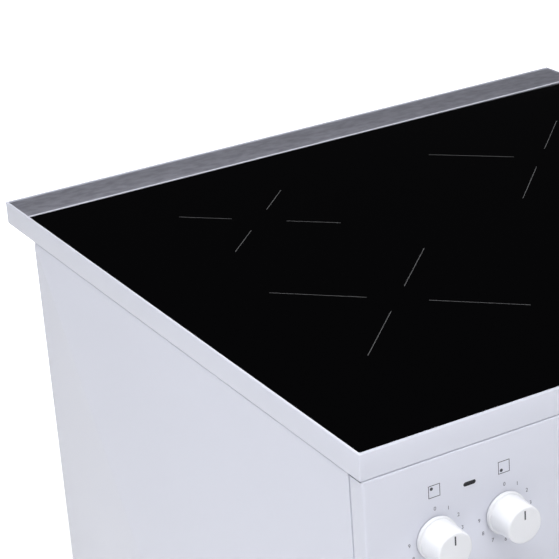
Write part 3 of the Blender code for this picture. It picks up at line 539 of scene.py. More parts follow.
MARK = plastic("zone_print", (0.085, 0.085, 0.088), 0.60)
INK = plastic("panel_print", (0.045, 0.048, 0.060), 0.50)
PALE_INK = plastic("dial_print", (0.10, 0.105, 0.13), 0.50)
PILOT_LENS = plastic("pilot_lens", (0.004, 0.004, 0.006), 0.55)
LAMP_GLASS = glow("lamp_glass", (0.95, 0.90, 0.78), 0.25)
DIGITS = glow("display_digits", (0.75, 0.86, 1.0), 1.6)


def paint_frame():
    """Every CAD node takes the material of its slot."""
    for entry in frame["record"]["subparts"]:
        mesh = frame["nodes"][entry["node"]].data
        mesh.materials.clear()
        mesh.materials.append(MATERIALS[entry["material_slot"]])


# ---- Hob -------------------------------------------------------------------------------


def build_hob():
    rim = block("hob_pressing", HOB_LOW, HOB_HIGH, WHITE, radius=0.9 * MM, segments=4)
    ledge = GLASS_LOW.z - 1.7 * MM
    inside = GLASS_HIGH.x + SEAT
    above = HOB_HIGH.z + 10 * MM
    lip = 14 * MM
    below = HOB_LOW.z - 10 * MM
    rim = carve(rim, block("glass_recess", (-inside, GLASS_LOW.y - SEAT, ledge),
        (inside, GLASS_HIGH.y + SEAT, above), upright=1.5 * MM), block("strip_recess",
        (-inside, STRIP_LOW.y - SEAT, ledge), (inside, STRIP_HIGH.y + SEAT, above)),
        block("skirt_hollow", (HOB_LOW.x + SHEET, HOB_LOW.y + SHEET, below),
        (HOB_HIGH.x - SHEET, HOB_HIGH.y - SHEET, ledge - SHEET)), block("hob_window",
        (-inside + lip, GLASS_LOW.y - SEAT + lip, below),
        (inside - lip, GLASS_HIGH.y + SEAT - lip, above)))
    near, far, depth = 0.80 * MM, 1.45 * MM, 0.70 * MM
    groove = block("front_groove", (-inside, HOB_LOW.y + near, HOB_HIGH.z - depth),
        (inside, HOB_LOW.y + far, above))
    rim = carve(rim, groove)
    stands_for(rim, "white_enamel", "cooker", "hob_frame")
    glass = block("hob_glass", GLASS_LOW, GLASS_HIGH, MATERIALS["black_glass"], radius=0.5 * MM,
        segments=3, upright=1.2 * MM)
    stands_for(glass, "black_glass", "cooker", "ceramic_glass")
    strip = block("steel_strip", STRIP_LOW, STRIP_HIGH, strip_steel(), radius=0.5 * MM, segments=3)
    stands_for(strip, "brushed_steel", "cooker", "rear_strip")
    for zone in ZONES:
        build_zone_cross(zone)


def build_zone_cross(zone):
    """Four thin printed lines, which leave the middle free."""
    low, high, centre = span(f"coil_winding_{zone}")
    reach = (high.x - low.x) / 2 + 2.5 * MM
    start = 24.4 * MM
    half_width = 0.30 * MM
    arms = []
    for quarter in range(4):
        arm = block(f"arm_{quarter}", (start, -half_width, GLASS_HIGH.z - 0.1 * MM),
            (reach, half_width, GLASS_HIGH.z + PRINT), MARK)
        spin = Matrix.Rotation(math.pi / 4 + quarter * math.pi / 2, 4, "Z")
        arm.data.transform(Matrix.Translation((centre.x, centre.y, 0)) @ spin)
        arms.append(arm)
    cross = merge(f"zone_mark_{zone}", arms)
    stands_for(cross, "black_glass", "cooker")


# ---- Front panels ----------------------------------------------------------------------


def frame_corners(low, high, inset, axes):
    """The corners of a rim, inset from a box, in the plane of two axes; the third is halfway."""
    loop = []
    for first, second in ((0, 0), (1, 0), (1, 1), (0, 1)):
        point = (low + high) / 2
        for axis, far in zip(axes, (first, second)):
            point[axis] = high[axis] - inset if far else low[axis] + inset
        loop.append(point)
    return loop


def pressed_front(name, low, high):
    """A white pressed front with rounded edges and an open back."""
    shell = block(name, low, high, WHITE, radius=1.3 * MM, segments=5, upright=1.5 * MM)
    hollow = block(f"{name}_hollow", (low.x + SHEET, low.y + 1.6 * MM, low.z + SHEET),
        (high.x - SHEET, high.y + 10 * MM, high.z - SHEET))
    return carve(shell, hollow)


def build_control_panel():
    """The fascia closes up under the hob's skirt, but its side returns end lower."""
    top = Vector((PANEL_HIGH.x, PANEL_HIGH.y + 0.3 * MM, HOB_LOW.z - SEAT))
    panel = pressed_front("control_fascia", PANEL_LOW, top)
    cutters = []
    for side in (-1, 1):
        ends = sorted((side * (top.x + 5 * MM), side * (top.x - 2.5 * MM)))
        cutters.append(block("return_end",
            (ends[0], PANEL_LOW.y + 2.2 * MM, PANEL_HIGH.z - 0.3 * MM),
            (ends[1], top.y + 5 * MM, top.z + 5 * MM)))
    window_low, window_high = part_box("display_window")
    room = Vector((SEAT, 10 * MM, SEAT))
    cutters.append(block("display_opening", window_low - room, window_high + room))
    for side in ("left", "right"):
        low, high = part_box(f"pilot_window_{side}")
        cutters.append(pill("pilot_opening", low, high, SEAT, 10 * MM))
        lens = pill(f"pilot_lens_{side}", low, high, SEAT - PRINT, 0.0, PILOT_LENS)
        stands_for(lens, "black_glass", "cooker", f"pilot_window_{side}")
    for knob, seat in KNOBS.items():
        reach = Vector((0, 15 * MM, 0))
        cutters.append(rod(f"{knob}_hole", seat - reach, seat + reach, 4.5 * MM))
    for side in ("minus", "plus"):
        low, high, middle = span(f"timer_{side}_button")
        reach = Vector((0, 20 * MM, 0))
        radius = (high.x - low.x) / 2
        cutters.append(rod(f"{side}_hole", middle - reach, middle + reach, radius + 0.4 * MM))
        face = Vector((middle.x, low.y, middle.z))
        button = rod(f"timer_{side}_cap", face, Vector((middle.x, high.y, middle.z)), radius,
            PLASTIC, rounding=0.6 * MM)
        body = f"timer_{side}_button"
        stands_for(button, "white_plastic", body, body)
        bars = [(2.2 * MM, 0.35 * MM)]
        if side == "plus":
            bars.append((0.35 * MM, 2.2 * MM))
        marks = [block(f"{side}_bar_{number}", (face.x - wide, face.y - PRINT, face.z - tall),
            (face.x + wide, face.y + 0.2 * MM, face.z + tall), INK) for number,
            (wide, tall) in enumerate(bars)]
        stands_for(merge(f"timer_{side}_mark", marks), "white_plastic", body)
    panel = carve(panel, *cutters)
    stands_for(panel, "white_enamel", "cooker", "control_panel")
    build_panel_print()
    build_display(window_low, window_high)


def pill(name, low, high, room, extra, material=None):
    """A flat bar with round ends, lying along X with its faces across Y."""
    radius = (high.z - low.z) / 2 + room
    left, right = low.x - room + radius, high.x + room - radius
    middle = (low.z + high.z) / 2
    shape = bmesh.new()
    rim = []
    for centre, start in ((right, -math.pi / 2), (left, math.pi / 2)):
        for step in range(13):
            angle = start + math.pi * step / 12
            rim.append((centre + radius * math.cos(angle), middle + radius * math.sin(angle)))
    near = [shape.verts.new((x, low.y - extra, z)) for x, z in rim]
    far = [shape.verts.new((x, high.y + extra, z)) for x, z in rim]
    shape.faces.new(near)
    shape.faces.new(list(reversed(far)))
    for number in range(len(rim)):
        after = (number + 1) % len(rim)
        shape.faces.new((near[number], far[number], far[after], near[after]))
    return put(name, shape, material)


def words(name, text, size, x, z, ink):
    """Printed characters, centred on a point of the front."""
    curve = bpy.data.curves.new(name, "FONT")
    curve.body = text
    curve.size = size
    curve.align_x = "CENTER"
    curve.align_y = "CENTER"
    curve.extrude = PRINT
    curve.resolution_u = 4
    obj = bpy.data.objects.new(name, curve)
    obj.location = (x, FACE, z)
    obj.rotation_euler = (math.pi / 2, 0, 0)
    bpy.context.scene.collection.objects.link(obj)
    return as_mesh(obj, ink)


def square_mark(name, x, z, corner_x, corner_z, ink):
    """A hob plan: an open square with a dot in the corner of one zone."""
    half, line = 4.55 * MM, 0.24 * MM
    bars = []
    for number, (dx, dz, wide, tall) in enumerate(((0, half, half + line, line),
            (0, -half, half + line, line), (half, 0, line, half - line),
            (-half, 0, line, half - line))):
        bars.append(block(f"{name}_{number}", (x + dx - wide, FACE - PRINT, z + dz - tall),
            (x + dx + wide, FACE + PRINT, z + dz + tall), ink))
    place = Vector((x + corner_x * 2.2 * MM, FACE, z + corner_z * 2.2 * MM))
    out = Vector((0, PRINT, 0))
    bars.append(rod(f"{name}_dot", place - out, place + out, 1.25 * MM, ink, sides=24))
    return merge(name, bars)


def build_panel_print():
    plan_height = HOB_HIGH.z - 45.4 * MM
    for knob in HOB_KNOBS:
        seat = KNOBS[knob]
        corner_x = -1 if "left" in knob else 1
        corner_z = 1 if "rear" in knob else -1
        plan = square_mark(f"{knob}_plan", seat.x, plan_height, corner_x, corner_z, INK)
        stands_for(plan, "white_enamel", "cooker")
        numbers = [dial_character(knob, seat, str(number), math.radians(30 * number))
            for number in range(10)]
        stands_for(merge(f"{knob}_numbers", numbers), "white_enamel", "cooker")
    seat = KNOBS["oven_temperature_knob"]
    degrees = [dial_character("oven_temperature_knob", seat, text, math.radians(54 * number),
        25 * MM) for number, text in enumerate(("0", "50", "100", "150", "200", "250"))]
    stands_for(merge("oven_temperature_numbers", degrees), "white_enamel", "cooker")
    seat = KNOBS["oven_function_knob"]
    ticks = [dial_character("oven_function_knob", seat, "0", 0.0)]
    for number in range(1, 8):
        ticks.append(dial_tick(seat, math.radians(45 * number)))
    stands_for(merge("oven_function_marks", ticks), "white_enamel", "cooker")


def dial_character(knob, seat, text, turn, radius=21.8 * MM):
    x = seat.x + radius * math.sin(turn)
    z = seat.z + radius * math.cos(turn)
    return words(f"{knob}_{text}", text, 4.2 * MM, x, z, PALE_INK)


def dial_tick(seat, turn, radius=22.0 * MM):
    tick = block("dial_tick", (-0.3 * MM, -PRINT, radius - 1.6 * MM),
        (0.3 * MM, PRINT, radius + 1.6 * MM), PALE_INK)
    place = Matrix.Translation((seat.x, FACE, seat.z)) @ Matrix.Rotation(turn, 4, "Y")
    tick.data.transform(place)
    return tick


def build_display(low, high):
    """Seven-segment clock digits behind the window's face."""
    face = low.y
    height, width, line = 10 * MM, 5.2 * MM, 0.55 * MM
    lit = {"1": "bc", "2": "abged", "0": "abcdef"}
    middle = (low + high) / 2
    pitch = 8.6 * MM
    pieces = []
    for number, digit in enumerate("1200"):
        across = middle.x + (number - 1.5) * pitch + (0.9 * MM if number > 1 else -0.9 * MM)
        for segment in lit[digit]:
            pieces.append(display_bar(segment, across, middle.z, height, width, line, face))
    for side in (-1, 1):
        pieces.append(block("colon",
            (middle.x - line, face - PRINT, middle.z + side * 2.2 * MM - line),
            (middle.x + line, face + PRINT, middle.z + side * 2.2 * MM + line), DIGITS))
    stands_for(merge("clock_digits", pieces), "black_glass", "cooker")


def display_bar(segment, x, z, height, width, line, face):
    half_h, half_w, gap = height / 2, width / 2, 0.35 * MM
    level = {"a": half_h, "g": 0.0, "d": -half_h}
    if segment in level:
        centre = (x, z + level[segment])
        size = (half_w - line - gap, line)
    else:
        side = 1 if segment in "bc" else -1
        up = 1 if segment in "bf" else -1
        centre = (x + side * half_w, z + up * half_h / 2)
        size = (line, half_h / 2 - line - gap)
    return block(f"segment_{segment}", (centre[0] - size[0], face - PRINT, centre[1] - size[1]),
        (centre[0] + size[0], face + PRINT, centre[1] + size[1]), DIGITS)


def build_knob(knob, seat):
    """A white knob with a domed cap and an index line."""
    length = seat.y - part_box(knob)[0].y
    rim = 16.0 * MM
    crown = length - 2.0 * MM
    profile = [(0.0, crown)]
    for step in range(7):
        angle = math.pi / 2 * step / 6
        profile.append((12.2 * MM + 1.8 * MM * math.sin(angle),
            crown - 1.8 * MM * (1 - math.cos(angle))))
    profile += [(14.6 * MM, 4.2 * MM), (14.9 * MM, 3.4 * MM)]
    for step in range(5):
        angle = math.pi / 2 * step / 4
        profile.append((rim - 0.8 * MM + 0.8 * MM * math.sin(angle),
            3.2 * MM - 0.8 * MM * (1 - math.cos(angle))))
    profile += [(rim, 0.2 * MM), (rim - 0.3 * MM, 0.0), (3.0 * MM, 0.0), (3.0 * MM, -15.0 * MM),
        (0.0, -15.0 * MM)]
    body = lathe(f"{knob}_cap", profile, seat, (0, -1, 0), PLASTIC)
    stands_for(body, "white_plastic", knob, knob)
    front = seat.y - crown
    line = block(f"{knob}_index", (seat.x - 0.6 * MM, front - PRINT, seat.z + 4.5 * MM),
        (seat.x + 0.6 * MM, front + 0.2 * MM, seat.z + 11.4 * MM), INK)
    stands_for(line, "white_plastic", knob)


def build_doors():
    door = pressed_front("door_front", DOOR_LOW, DOOR_HIGH)
    glass_low, glass_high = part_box("door_outer_glass")
    room = Vector((SEAT, 30 * MM, SEAT))
    notches = []
    for side in ("left", "right"):
        low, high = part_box(f"{side}_door_hinge")
        notch_low = Vector(((low.x + high.x) / 2 - 8 * MM, FRONT + 3 * MM, DOOR_LOW.z - 10 * MM))
        notch_high = Vector(((low.x + high.x) / 2 + 8 * MM, FRONT + 30 * MM, DOOR_LOW.z + 4 * MM))
        notches.append(block(f"{side}_notch", notch_low, notch_high))
    window = block("door_window", glass_low - room, glass_high + room)
    door = carve(door, window, *notches)
    stands_for(door, "white_enamel", "door", "door_skin")
    glass = block("door_front_glass", glass_low, glass_high, MATERIALS["black_glass"],
        radius=0.6 * MM, segments=3)
    stands_for(glass, "black_glass", "door", "door_outer_glass")
    drawer = pressed_front("drawer_fascia", DRAWER_LOW, DRAWER_HIGH)
    stands_for(drawer, "white_enamel", "drawer", "drawer_front")
    build_handle()


def build_handle():
    low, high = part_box("door_handle")
    radius = (high.z - low.z) / 2
    bar_y = low.y + radius
    height = (low.z + high.z) / 2
    steel = satin_steel()
    profile = [(0.0, 0.0), (radius - 1.6 * MM, 0.0)]
    for step in range(1, 7):
        angle = math.pi / 2 * step / 6
        profile.append((radius - 1.6 * MM * (1 - math.sin(angle)),
            1.6 * MM * (1 - math.cos(angle))))
    length = high.x - low.x
    profile += [(r, length - h) for r, h in reversed(profile)]
    bar = lathe("handle_bar", profile, Vector((low.x, bar_y, height)), (1, 0, 0), steel, steps=64)
    posts = []
    for side in (-1, 1):
        across = side * (high.x - 25 * MM)
        base = Vector((across, FRONT - SEAT, height))
        post = [(0.0, 0.0), (9.0 * MM, 0.0), (9.0 * MM, 1.2 * MM), (8.4 * MM, 1.9 * MM)]
        for step in range(1, 8):
            angle = math.pi / 2 * step / 7
            post.append((8.4 * MM - 2.6 * MM * math.sin(angle),
                1.9 * MM + 5 * MM * (1 - math.cos(angle))))
        post += [(5.8 * MM, FRONT - bar_y), (0.0, FRONT - bar_y)]
        posts.append(lathe(f"handle_post_{side + 1}", post, base, (0, -1, 0), steel, steps=48))
    handle = merge("handle", [bar, *posts])
    stands_for(handle, "brushed_steel", "door", "door_handle")


def build_sides():
    """Folded side panels, with a small open corner at the top rear."""
    for side in ("left", "right"):
        name = f"{side}_side_panel"
        low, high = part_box(name)
        high = Vector((high.x, high.y, high.z + 0.1 * MM))
        shell = block(f"{side}_side_sheet", low, high, WHITE, radius=0.45 * MM, segments=3)
        inner_low = [low.x + SHEET, low.y + SHEET, low.z + SHEET]
        inner_high = [high.x - SHEET, high.y - SHEET, high.z - SHEET]
        if side == "left":
            inner_high[0] = high.x + 10 * MM
        else:
            inner_low[0] = low.x - 10 * MM
        corner = 2.4 * MM
        shell = carve(shell, block("side_hollow", inner_low, inner_high), block("side_corner",
            (low.x - 5 * MM, high.y - corner, high.z - corner),
            (high.x + 5 * MM, high.y + 5 * MM, high.z + 5 * MM)))
        stands_for(shell, "white_enamel", "cooker", name)


# ---- Rear, base and feet ---------------------------------------------------------------

LOUVRE_LOW, LOUVRE_PITCH = 0.720, 0.014
TO_REAR = Matrix.Rotation(-math.pi / 2, 4, "X")  # local Z runs to +Y
TO_FLOOR = Matrix.Rotation(math.pi, 4, "X")  # local Z runs down


def build_rear():
    low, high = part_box("rear_panel")
    sheet = block("rear_sheet", low, high, ZINC)
    openings = []
    hoods = []
    for side in (-1, 1):
        for number in range(6):
            base = LOUVRE_LOW + LOUVRE_PITCH * number
            left, right = side * 0.150 - 0.060, side * 0.150 + 0.060
            start = Vector((left, low.y, base))
            end = Vector((right, high.y, base + 0.005))
            openings.append(pill("louvre", start, end, 0.0, 10 * MM))
            middle = Vector((side * 0.150, high.y - 0.2 * MM, base + 0.0065))
            hood = pressing("hood", 0.126, 0.0078, 3.4 * MM, 3.6 * MM, 2.6 * MM,
                Matrix.Translation(middle) @ TO_REAR, ZINC)
            hoods.append(hood)
    sheet = carve(sheet, *openings)
    for x, z, width, height in ((-0.130, 0.490, 0.200, 0.330), (0.130, 0.490, 0.200, 0.330)):
        place = Matrix.Translation((x, high.y - 0.2 * MM, z)) @ TO_REAR
        hoods.append(pressing("pad", width, height, 3.2 * MM, 18 * MM, 7 * MM, place, ZINC))
    place = Matrix.Translation((0.060, high.y - 0.2 * MM, 0.160)) @ TO_REAR
    hoods.append(pressing("low_pad", 0.270, 0.150, 3.2 * MM, 18 * MM, 7 * MM, place, ZINC))
    stands_for(merge("back_cover", [sheet, *hoods]), "galvanised_steel", "cooker", "rear_panel")
    seats = [Vector((x, high.y, z)) for z in (0.060, 0.300, 0.560, 0.812) for x in (-0.268, 0.268)]
    seats += [Vector((x, high.y, z)) for z in (0.048, 0.818) for x in (-0.090, 0.090)]
    screws("rear_screws", seats, (0, 1, 0), 3.9 * MM, "cooker")
    place = Matrix.Translation((0.130, high.y + 2.8 * MM, 0.590)) @ TO_REAR
    label = pressing("blank_label", 0.080, 0.045, 0.5 * MM, 3 * MM, 0.2 * MM, place,
        MATERIALS["aluminium"])
    stands_for(label, "aluminium", "cooker")
    build_terminal_cover()


def build_terminal_cover():
    low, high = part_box("terminal_block")
    back = high.y - 4.2 * MM
    cover = block("terminal_cover", low, (high.x, back, high.z), DARK, radius=3 * MM, segments=5)
    middle = (low + high) / 2
    parts = [cover]
    place = Matrix.Translation((middle.x, back - 0.2 * MM, middle.z + 6 * MM)) @ TO_REAR
    parts.append(pressing("lid", 0.078, 0.056, 2.0 * MM, 6 * MM, 1.2 * MM, place, DARK))
    for number in range(6):
        height = middle.z - 10 * MM + number * 6.4 * MM
        place = Matrix.Translation((middle.x, back + 1.6 * MM, height)) @ TO_REAR
        parts.append(pressing("rib", 0.056, 0.0022, 1.2 * MM, 1.0 * MM, 0.6 * MM, place, DARK))
    collar = [(8.2 * MM, 0.0), (12.0 * MM, 0.0), (12.0 * MM, 4 * MM), (10.5 * MM, 6 * MM),
        (8.2 * MM, 6 * MM)]
    seat = Vector((middle.x, low.y + 15.2 * MM, low.z))
    entry = rod("entry", seat - Vector((0, 0, 10 * MM)), seat + Vector((0, 0, 20 * MM)), 8 * MM)
    parts[0] = carve(parts[0], entry)
    parts.append(lathe("gland", [*collar, collar[0]], seat + Vector((0, 0, 0.2 * MM)), (0, 0, -1),
        DARK))
    stands_for(merge("terminal_cover", parts), "dark_plastic", "cooker", "terminal_block")
    seats = [Vector((x, back, low.z + 7 * MM)) for x in (low.x + 9 * MM, high.x - 9 * MM)]
    screws("terminal_screws", seats, (0, 1, 0), 3.2 * MM, "cooker")


def build_feet():
    for name in ("front_left_foot", "front_right_foot", "rear_left_foot", "rear_right_foot"):
        low, high, middle = span(name)
        radius = (high.x - low.x) / 2
        profile = [(0.0, 0.0), (radius - 1.2 * MM, 0.0), (radius, 1.2 * MM), (radius, 5.0 * MM)]
        profile += [(radius - 1.0 * MM, 6.2 * MM), (12.5 * MM, 9.8 * MM), (11.5 * MM, 11.4 * MM)]
        profile += [(4.4 * MM, 12.4 * MM)]
        height = 12.8 * MM
        while height < high.z - 1.6 * MM:
            profile += [(4.0 * MM, height + 0.35 * MM), (3.4 * MM, height + 0.85 * MM)]
            height += 1.25 * MM
        profile += [(3.4 * MM, high.z), (0.0, high.z)]
        centre = Vector((middle.x, middle.y, 0.0))
        foot = lathe(f"{name}_base", profile, centre, (0, 0, 1), DARK)
        lobes = []
        for number in range(12):
            spin = Matrix.Rotation(math.pi * number / 6, 4, "Z")
            offset = Matrix.Translation((radius - 0.4 * MM, 0, 0))
            lobes.append(Matrix.Translation(centre) @ spin @ offset)
        start, end = Vector((0, 0, 1.6 * MM)), Vector((0, 0, 5.2 * MM))
        groove = rod("groove", start, end, 1.1 * MM, DARK, 12)
        foot = carve(foot, repeat("grooves", groove, lobes))
        stands_for(foot, "dark_plastic", "cooker", name)


def build_base():
    low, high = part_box("base_pan")
    pads = []
    for x in (-0.150, 0.0, 0.150):
        place = Matrix.Translation((x, (low.y + high.y) / 2, low.z + 0.2 * MM)) @ TO_FLOOR
        pads.append(pressing("base_pad", 0.090, 0.380, 3.0 * MM, 16 * MM, 6 * MM, place, ZINC))
    stands_for(merge("base_pressings", pads), "galvanised_steel", "cooker")


# ---- Oven ------------------------------------------------------------------------------


def build_oven():
    low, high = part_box("oven_liner")
    shell = block("cavity", low, high, GREY, radius=6 * MM, segments=4)
    wall = Vector((SHEET, SHEET, SHEET))
    inner_low, inner_high = low + wall, high - wall
    space = block("cavity_space", (inner_low.x, low.y - 30 * MM, inner_low.z), inner_high,
        radius=11 * MM, segments=8)
    hub_low, hub_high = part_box("oven_fan")
    hub = (hub_low + hub_high) / 2
    shaft = rod("shaft_hole", (0, high.y - 20 * MM, hub.z), (0, high.y + 10 * MM, hub.z), 6 * MM)
    shell = carve(shell, space, shaft)
    stands_for(shell, "grey_enamel", "cooker", "oven_liner")
    build_baffle()
    build_oven_fan(hub)
    build_element()
    build_racks(inner_low)
    build_shelf()
    build_seal()
    ring = [(15 * MM, 0.0), (24 * MM, 0.0), (24 * MM, 2 * MM), (21 * MM, 4 * MM),
        (15 * MM, 4 * MM), (15 * MM, 0.0)]
    seat = Vector((0.188, inner_high.y - 0.2 * MM, inner_high.z - 48 * MM))
    collar = lathe("lamp_collar", ring, seat, (0, -1, 0), CHROME)
    stands_for(collar, "chromed_wire", "cooker")
    dome = [(0.0, 12 * MM)]
    for step in range(1, 9):
        angle = math.pi / 2 * step / 8
        dome.append((17 * MM * math.sin(angle), 2 * MM + 10 * MM * math.cos(angle)))
    dome += [(17 * MM, 0.4 * MM), (0.0, 0.4 * MM)]
    stands_for(lathe("lamp_glass", dome, seat, (0, -1, 0), LAMP_GLASS), "smoked_glass", "cooker")
    face_low, face_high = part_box("oven_face")
    seats = [Vector((x, face_low.y, z)) for x in (-0.262, 0.262)
        for z in (face_low.z + 60 * MM, face_high.z - 20 * MM)]
    screws("face_screws", seats, (0, -1, 0), 3.9 * MM, "cooker")


def build_baffle():
    low, high, middle = span("fan_cover")
    cover = block("fan_baffle", low, high, GREY, radius=5 * MM, segments=6)
    cutters = [block("baffle_space", (low.x + SHEET, low.y + SHEET, low.z + SHEET),
        (high.x - SHEET, high.y + 10 * MM, high.z - SHEET), radius=4 * MM)]
    for number in range(8):
        base = middle.z - 0.047 + 0.0126 * number
        off = abs(base + 0.003 - middle.z)
        half = math.sqrt(max(0.050**2 - off**2, 0.020**2))
        start, end = Vector((-half, low.y, base)), Vector((half, low.y, base + 0.006))
        cutters.append(pill("grille_slot", start, end, 0.0, 10 * MM))
    for x in (low.x, high.x):
        for number in range(5):
            height = middle.z - 0.060 + 0.030 * number
            cutters.append(block("side_slot", (x - 10 * MM, low.y + 9 * MM, height - 10 * MM),
                (x + 10 * MM, low.y + 15 * MM, height + 10 * MM)))
    stands_for(carve(cover, *cutters), "grey_enamel", "cooker", "fan_cover")
    seats = [Vector((x, low.y, z)) for x in (-0.132, 0.132)
        for z in (middle.z - 0.107, middle.z + 0.107)]
    screws("baffle_screws", seats, (0, -1, 0), 3.6 * MM, "cooker")


def build_oven_fan(hub):
    """A backplate with curved blades on a short hub and its shaft."""
    low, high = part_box("oven_fan")
    radius = (high.x - low.x) / 2
    front, back = low.y, low.y + 16 * MM
    profile = [(0.0, 0.0), (9 * MM, 0.0), (10 * MM, 1 * MM), (10 * MM, 15 * MM), (radius, 15 * MM)]
    profile += [(radius, 16 * MM), (4 * MM, 16 * MM), (4 * MM, high.y - front),
        (0.0, high.y - front)]
    centre = Vector((hub.x, front, hub.z))
    wheel = lathe("fan_wheel", profile, centre, (0, 1, 0), STEEL)
    shape = bmesh.new()
    columns = []
    for step in range(7):
        reach = 22 * MM + (radius - 22 * MM) * step / 6
        angle = 0.55 * (step / 6) ** 1.4
        columns.append((reach * math.cos(angle), reach * math.sin(angle)))
    half = 0.5 * MM
    rows = []
    for x, z in columns:
        side = Vector((-z, 0, x)).normalized() * half
        rows.append([shape.verts.new(Vector((x, y, z)) + side * sign) for y,
            sign in ((1.5 * MM, 1), (15.4 * MM, 1), (15.4 * MM, -1), (1.5 * MM, -1))])
    for first, second in zip(rows, rows[1:]):
        for corner in range(4):
            after = (corner + 1) % 4
            shape.faces.new((first[corner], first[after], second[after], second[corner]))
    shape.faces.new(rows[0])
    shape.faces.new(list(reversed(rows[-1])))
    blade = put("fan_blade", shape, STEEL)
    turns = [Matrix.Translation(centre) @ Matrix.Rotation(math.pi * n / 6, 4, "Y")
        for n in range(12)]
    fan = merge("fan_wheel", [wheel, repeat("blades", blade, turns)])
    stands_for(fan, "brushed_steel", "oven_fan", "oven_fan")


def build_element():
    low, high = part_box("grill_element")
    radius = 3.2 * MM
    height = (low.z + high.z) / 2
    reach = 0.150
    near, far, wall = low.y + radius, high.y - 50 * MM, high.y
    runs = 6
    spacing = 2 * reach / (runs - 1)
    points = [(-reach, wall, height)]
    for run in range(runs):
        across = -reach + run * spacing
        ends = (far, near) if run % 2 == 0 else (near, far)
        if run:
            points.append((across, ends[0], height))
        points.append((across, ends[1], height))
    points[-1] = (reach, wall, height)
    rod_path = bent(points, spacing / 2, steps=10)
    element = tube("grill_rod", rod_path, radius, MATERIALS["heating_element"])
    stands_for(element, "heating_element", "cooker", "grill_element")
    hangers = []
    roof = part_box("oven_liner")[1].z - SHEET
    for depth in (0.35, 0.75):
        y = near + (far - near) * depth
        bottom = height - radius - 1.2 * MM
        path = bent([(-0.160, y, roof), (-0.160, y, bottom), (0.160, y, bottom), (0.160, y, roof)],
            8 * MM)
        hangers.append(tube("hanger", path, 1.1 * MM, CHROME, resolution=3))
    stands_for(merge("element_hangers", hangers), "chromed_wire", "cooker")


def build_racks(inner_low):
    wire = 2.5 * MM
    for side, name in ((-1, "left_shelf_rack"), (1, "right_shelf_rack")):
        low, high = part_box(name)
        outer = high.x - wire if side > 0 else low.x + wire
        runner = low.x + wire if side > 0 else high.x - wire
        front, back = low.y + 5 * MM, high.y - 5 * MM
        post = bent([(outer, front, low.z + wire), (outer, front, high.z - wire),
            (outer, back, high.z - wire), (outer, back, low.z + wire)], 14 * MM, closed=True)
        wires = [tube(f"{name}_frame", post, wire, CHROME, closed=True)]
        for level in range(4):
            height = inner_low.z + 0.050 + 0.065 * level
            path = bent([(outer, front, height), (runner, front, height), (runner, back, height),
                (outer, back, height)], 7 * MM)
            wires.append(tube(f"{name}_runner_{level}", path, wire * 0.96, CHROME))
        stands_for(merge(f"{name}_wires", wires), "chromed_wire", "cooker", name)


def build_shelf():
    low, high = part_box("wire_shelf")
    thick, thin = 2.3 * MM, 1.7 * MM
    bottom = low.z + thick
    loop = [(low.x + 6 * MM, low.y + thick, bottom), (high.x - 6 * MM, low.y + thick, bottom),
        (high.x - 6 * MM, high.y - thick, bottom), (low.x + 6 * MM, high.y - thick, bottom)]
    wires = [tube("shelf_frame", bent(loop, 16 * MM, closed=True), thick, CHROME, closed=True)]
    top = high.z - thin
    first, last = low.y + 16 * MM, high.y - 16 * MM
    for number in range(17):
        y = first + (last - first) * number / 16
        path = [(low.x + 1 * MM, y, top), (high.x - 1 * MM, y, top)]
        wires.append(tube(f"shelf_wire_{number}", path, thin, CHROME, resolution=3))
    stands_for(merge("shelf_wires", wires), "chromed_wire", "wire_shelf", "wire_shelf")


def build_seal():
    low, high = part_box("door_seal")
    radius = (high.y - low.y) / 2
    path = bent(frame_corners(low, high, radius, (0, 2)), 22 * MM, closed=True, steps=10)
    seal = tube("oven_gasket", path, radius, RUBBER, closed=True)
    stands_for(seal, "black_rubber", "cooker", "door_seal")


# ---- Door's inner side and the drawer's box ----------------------------------------------


def build_door_inside():
    low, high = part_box("door_liner")
    glass_low, glass_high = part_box("door_inner_glass")
    shell = block("door_inner_pressing", low, high, GREY, radius=4 * MM, segments=6)
    margin = 10 * MM
    window_low = (glass_low.x + margin, low.y - 10 * MM, glass_low.z + margin)
    window_high = (glass_high.x - margin, high.y + 10 * MM, glass_high.z - margin)
    shell = carve(shell, block("liner_hollow", (low.x + SHEET, low.y - 10 * MM, low.z + SHEET),
        (high.x - SHEET, high.y - SHEET, high.z - SHEET), radius=3 * MM),
        rounded_opening("liner_window", window_low, window_high, 10 * MM))
    stands_for(shell, "grey_enamel", "door", "door_liner")
    pane = block("inner_pane", glass_low, glass_high, MATERIALS["smoked_glass"], radius=0.5 * MM)
    stands_for(pane, "smoked_glass", "door", "door_inner_glass")
    width = 22 * MM
    border = block("pane_border",
        (glass_low.x + 1 * MM, glass_low.y - 0.25 * MM, glass_low.z + 1 * MM),
        (glass_high.x - 1 * MM, glass_low.y - 0.05 * MM, glass_high.z - 1 * MM), INK)
    hole_low = (glass_low.x + width, glass_low.y - 5 * MM, glass_low.z + width)
    hole_high = (glass_high.x - width, glass_low.y + 5 * MM, glass_high.z - width)
    border = carve(border, rounded_opening("border_window", hole_low, hole_high, 8 * MM))
    stands_for(border, "black_glass", "door")
    seats = [Vector((x, high.y, z)) for z in (low.z + 14 * MM, high.z - 16 * MM)
        for x in (low.x + 16 * MM, -0.085, 0.085, high.x - 16 * MM)]
    screws("liner_screws", seats, (0, 1, 0), 3.6 * MM, "door")


def rounded_opening(name, low, high, corner):
    """A cutter along Y with rounded corners."""
    low, high = Vector(low), Vector(high)
    middle = (low + high) / 2
    place = Matrix.Translation((middle.x, low.y, middle.z)) @ TO_REAR
    size = high - low
    return pressing(name, size.x, size.z, size.y, corner, 0.0, place, None)


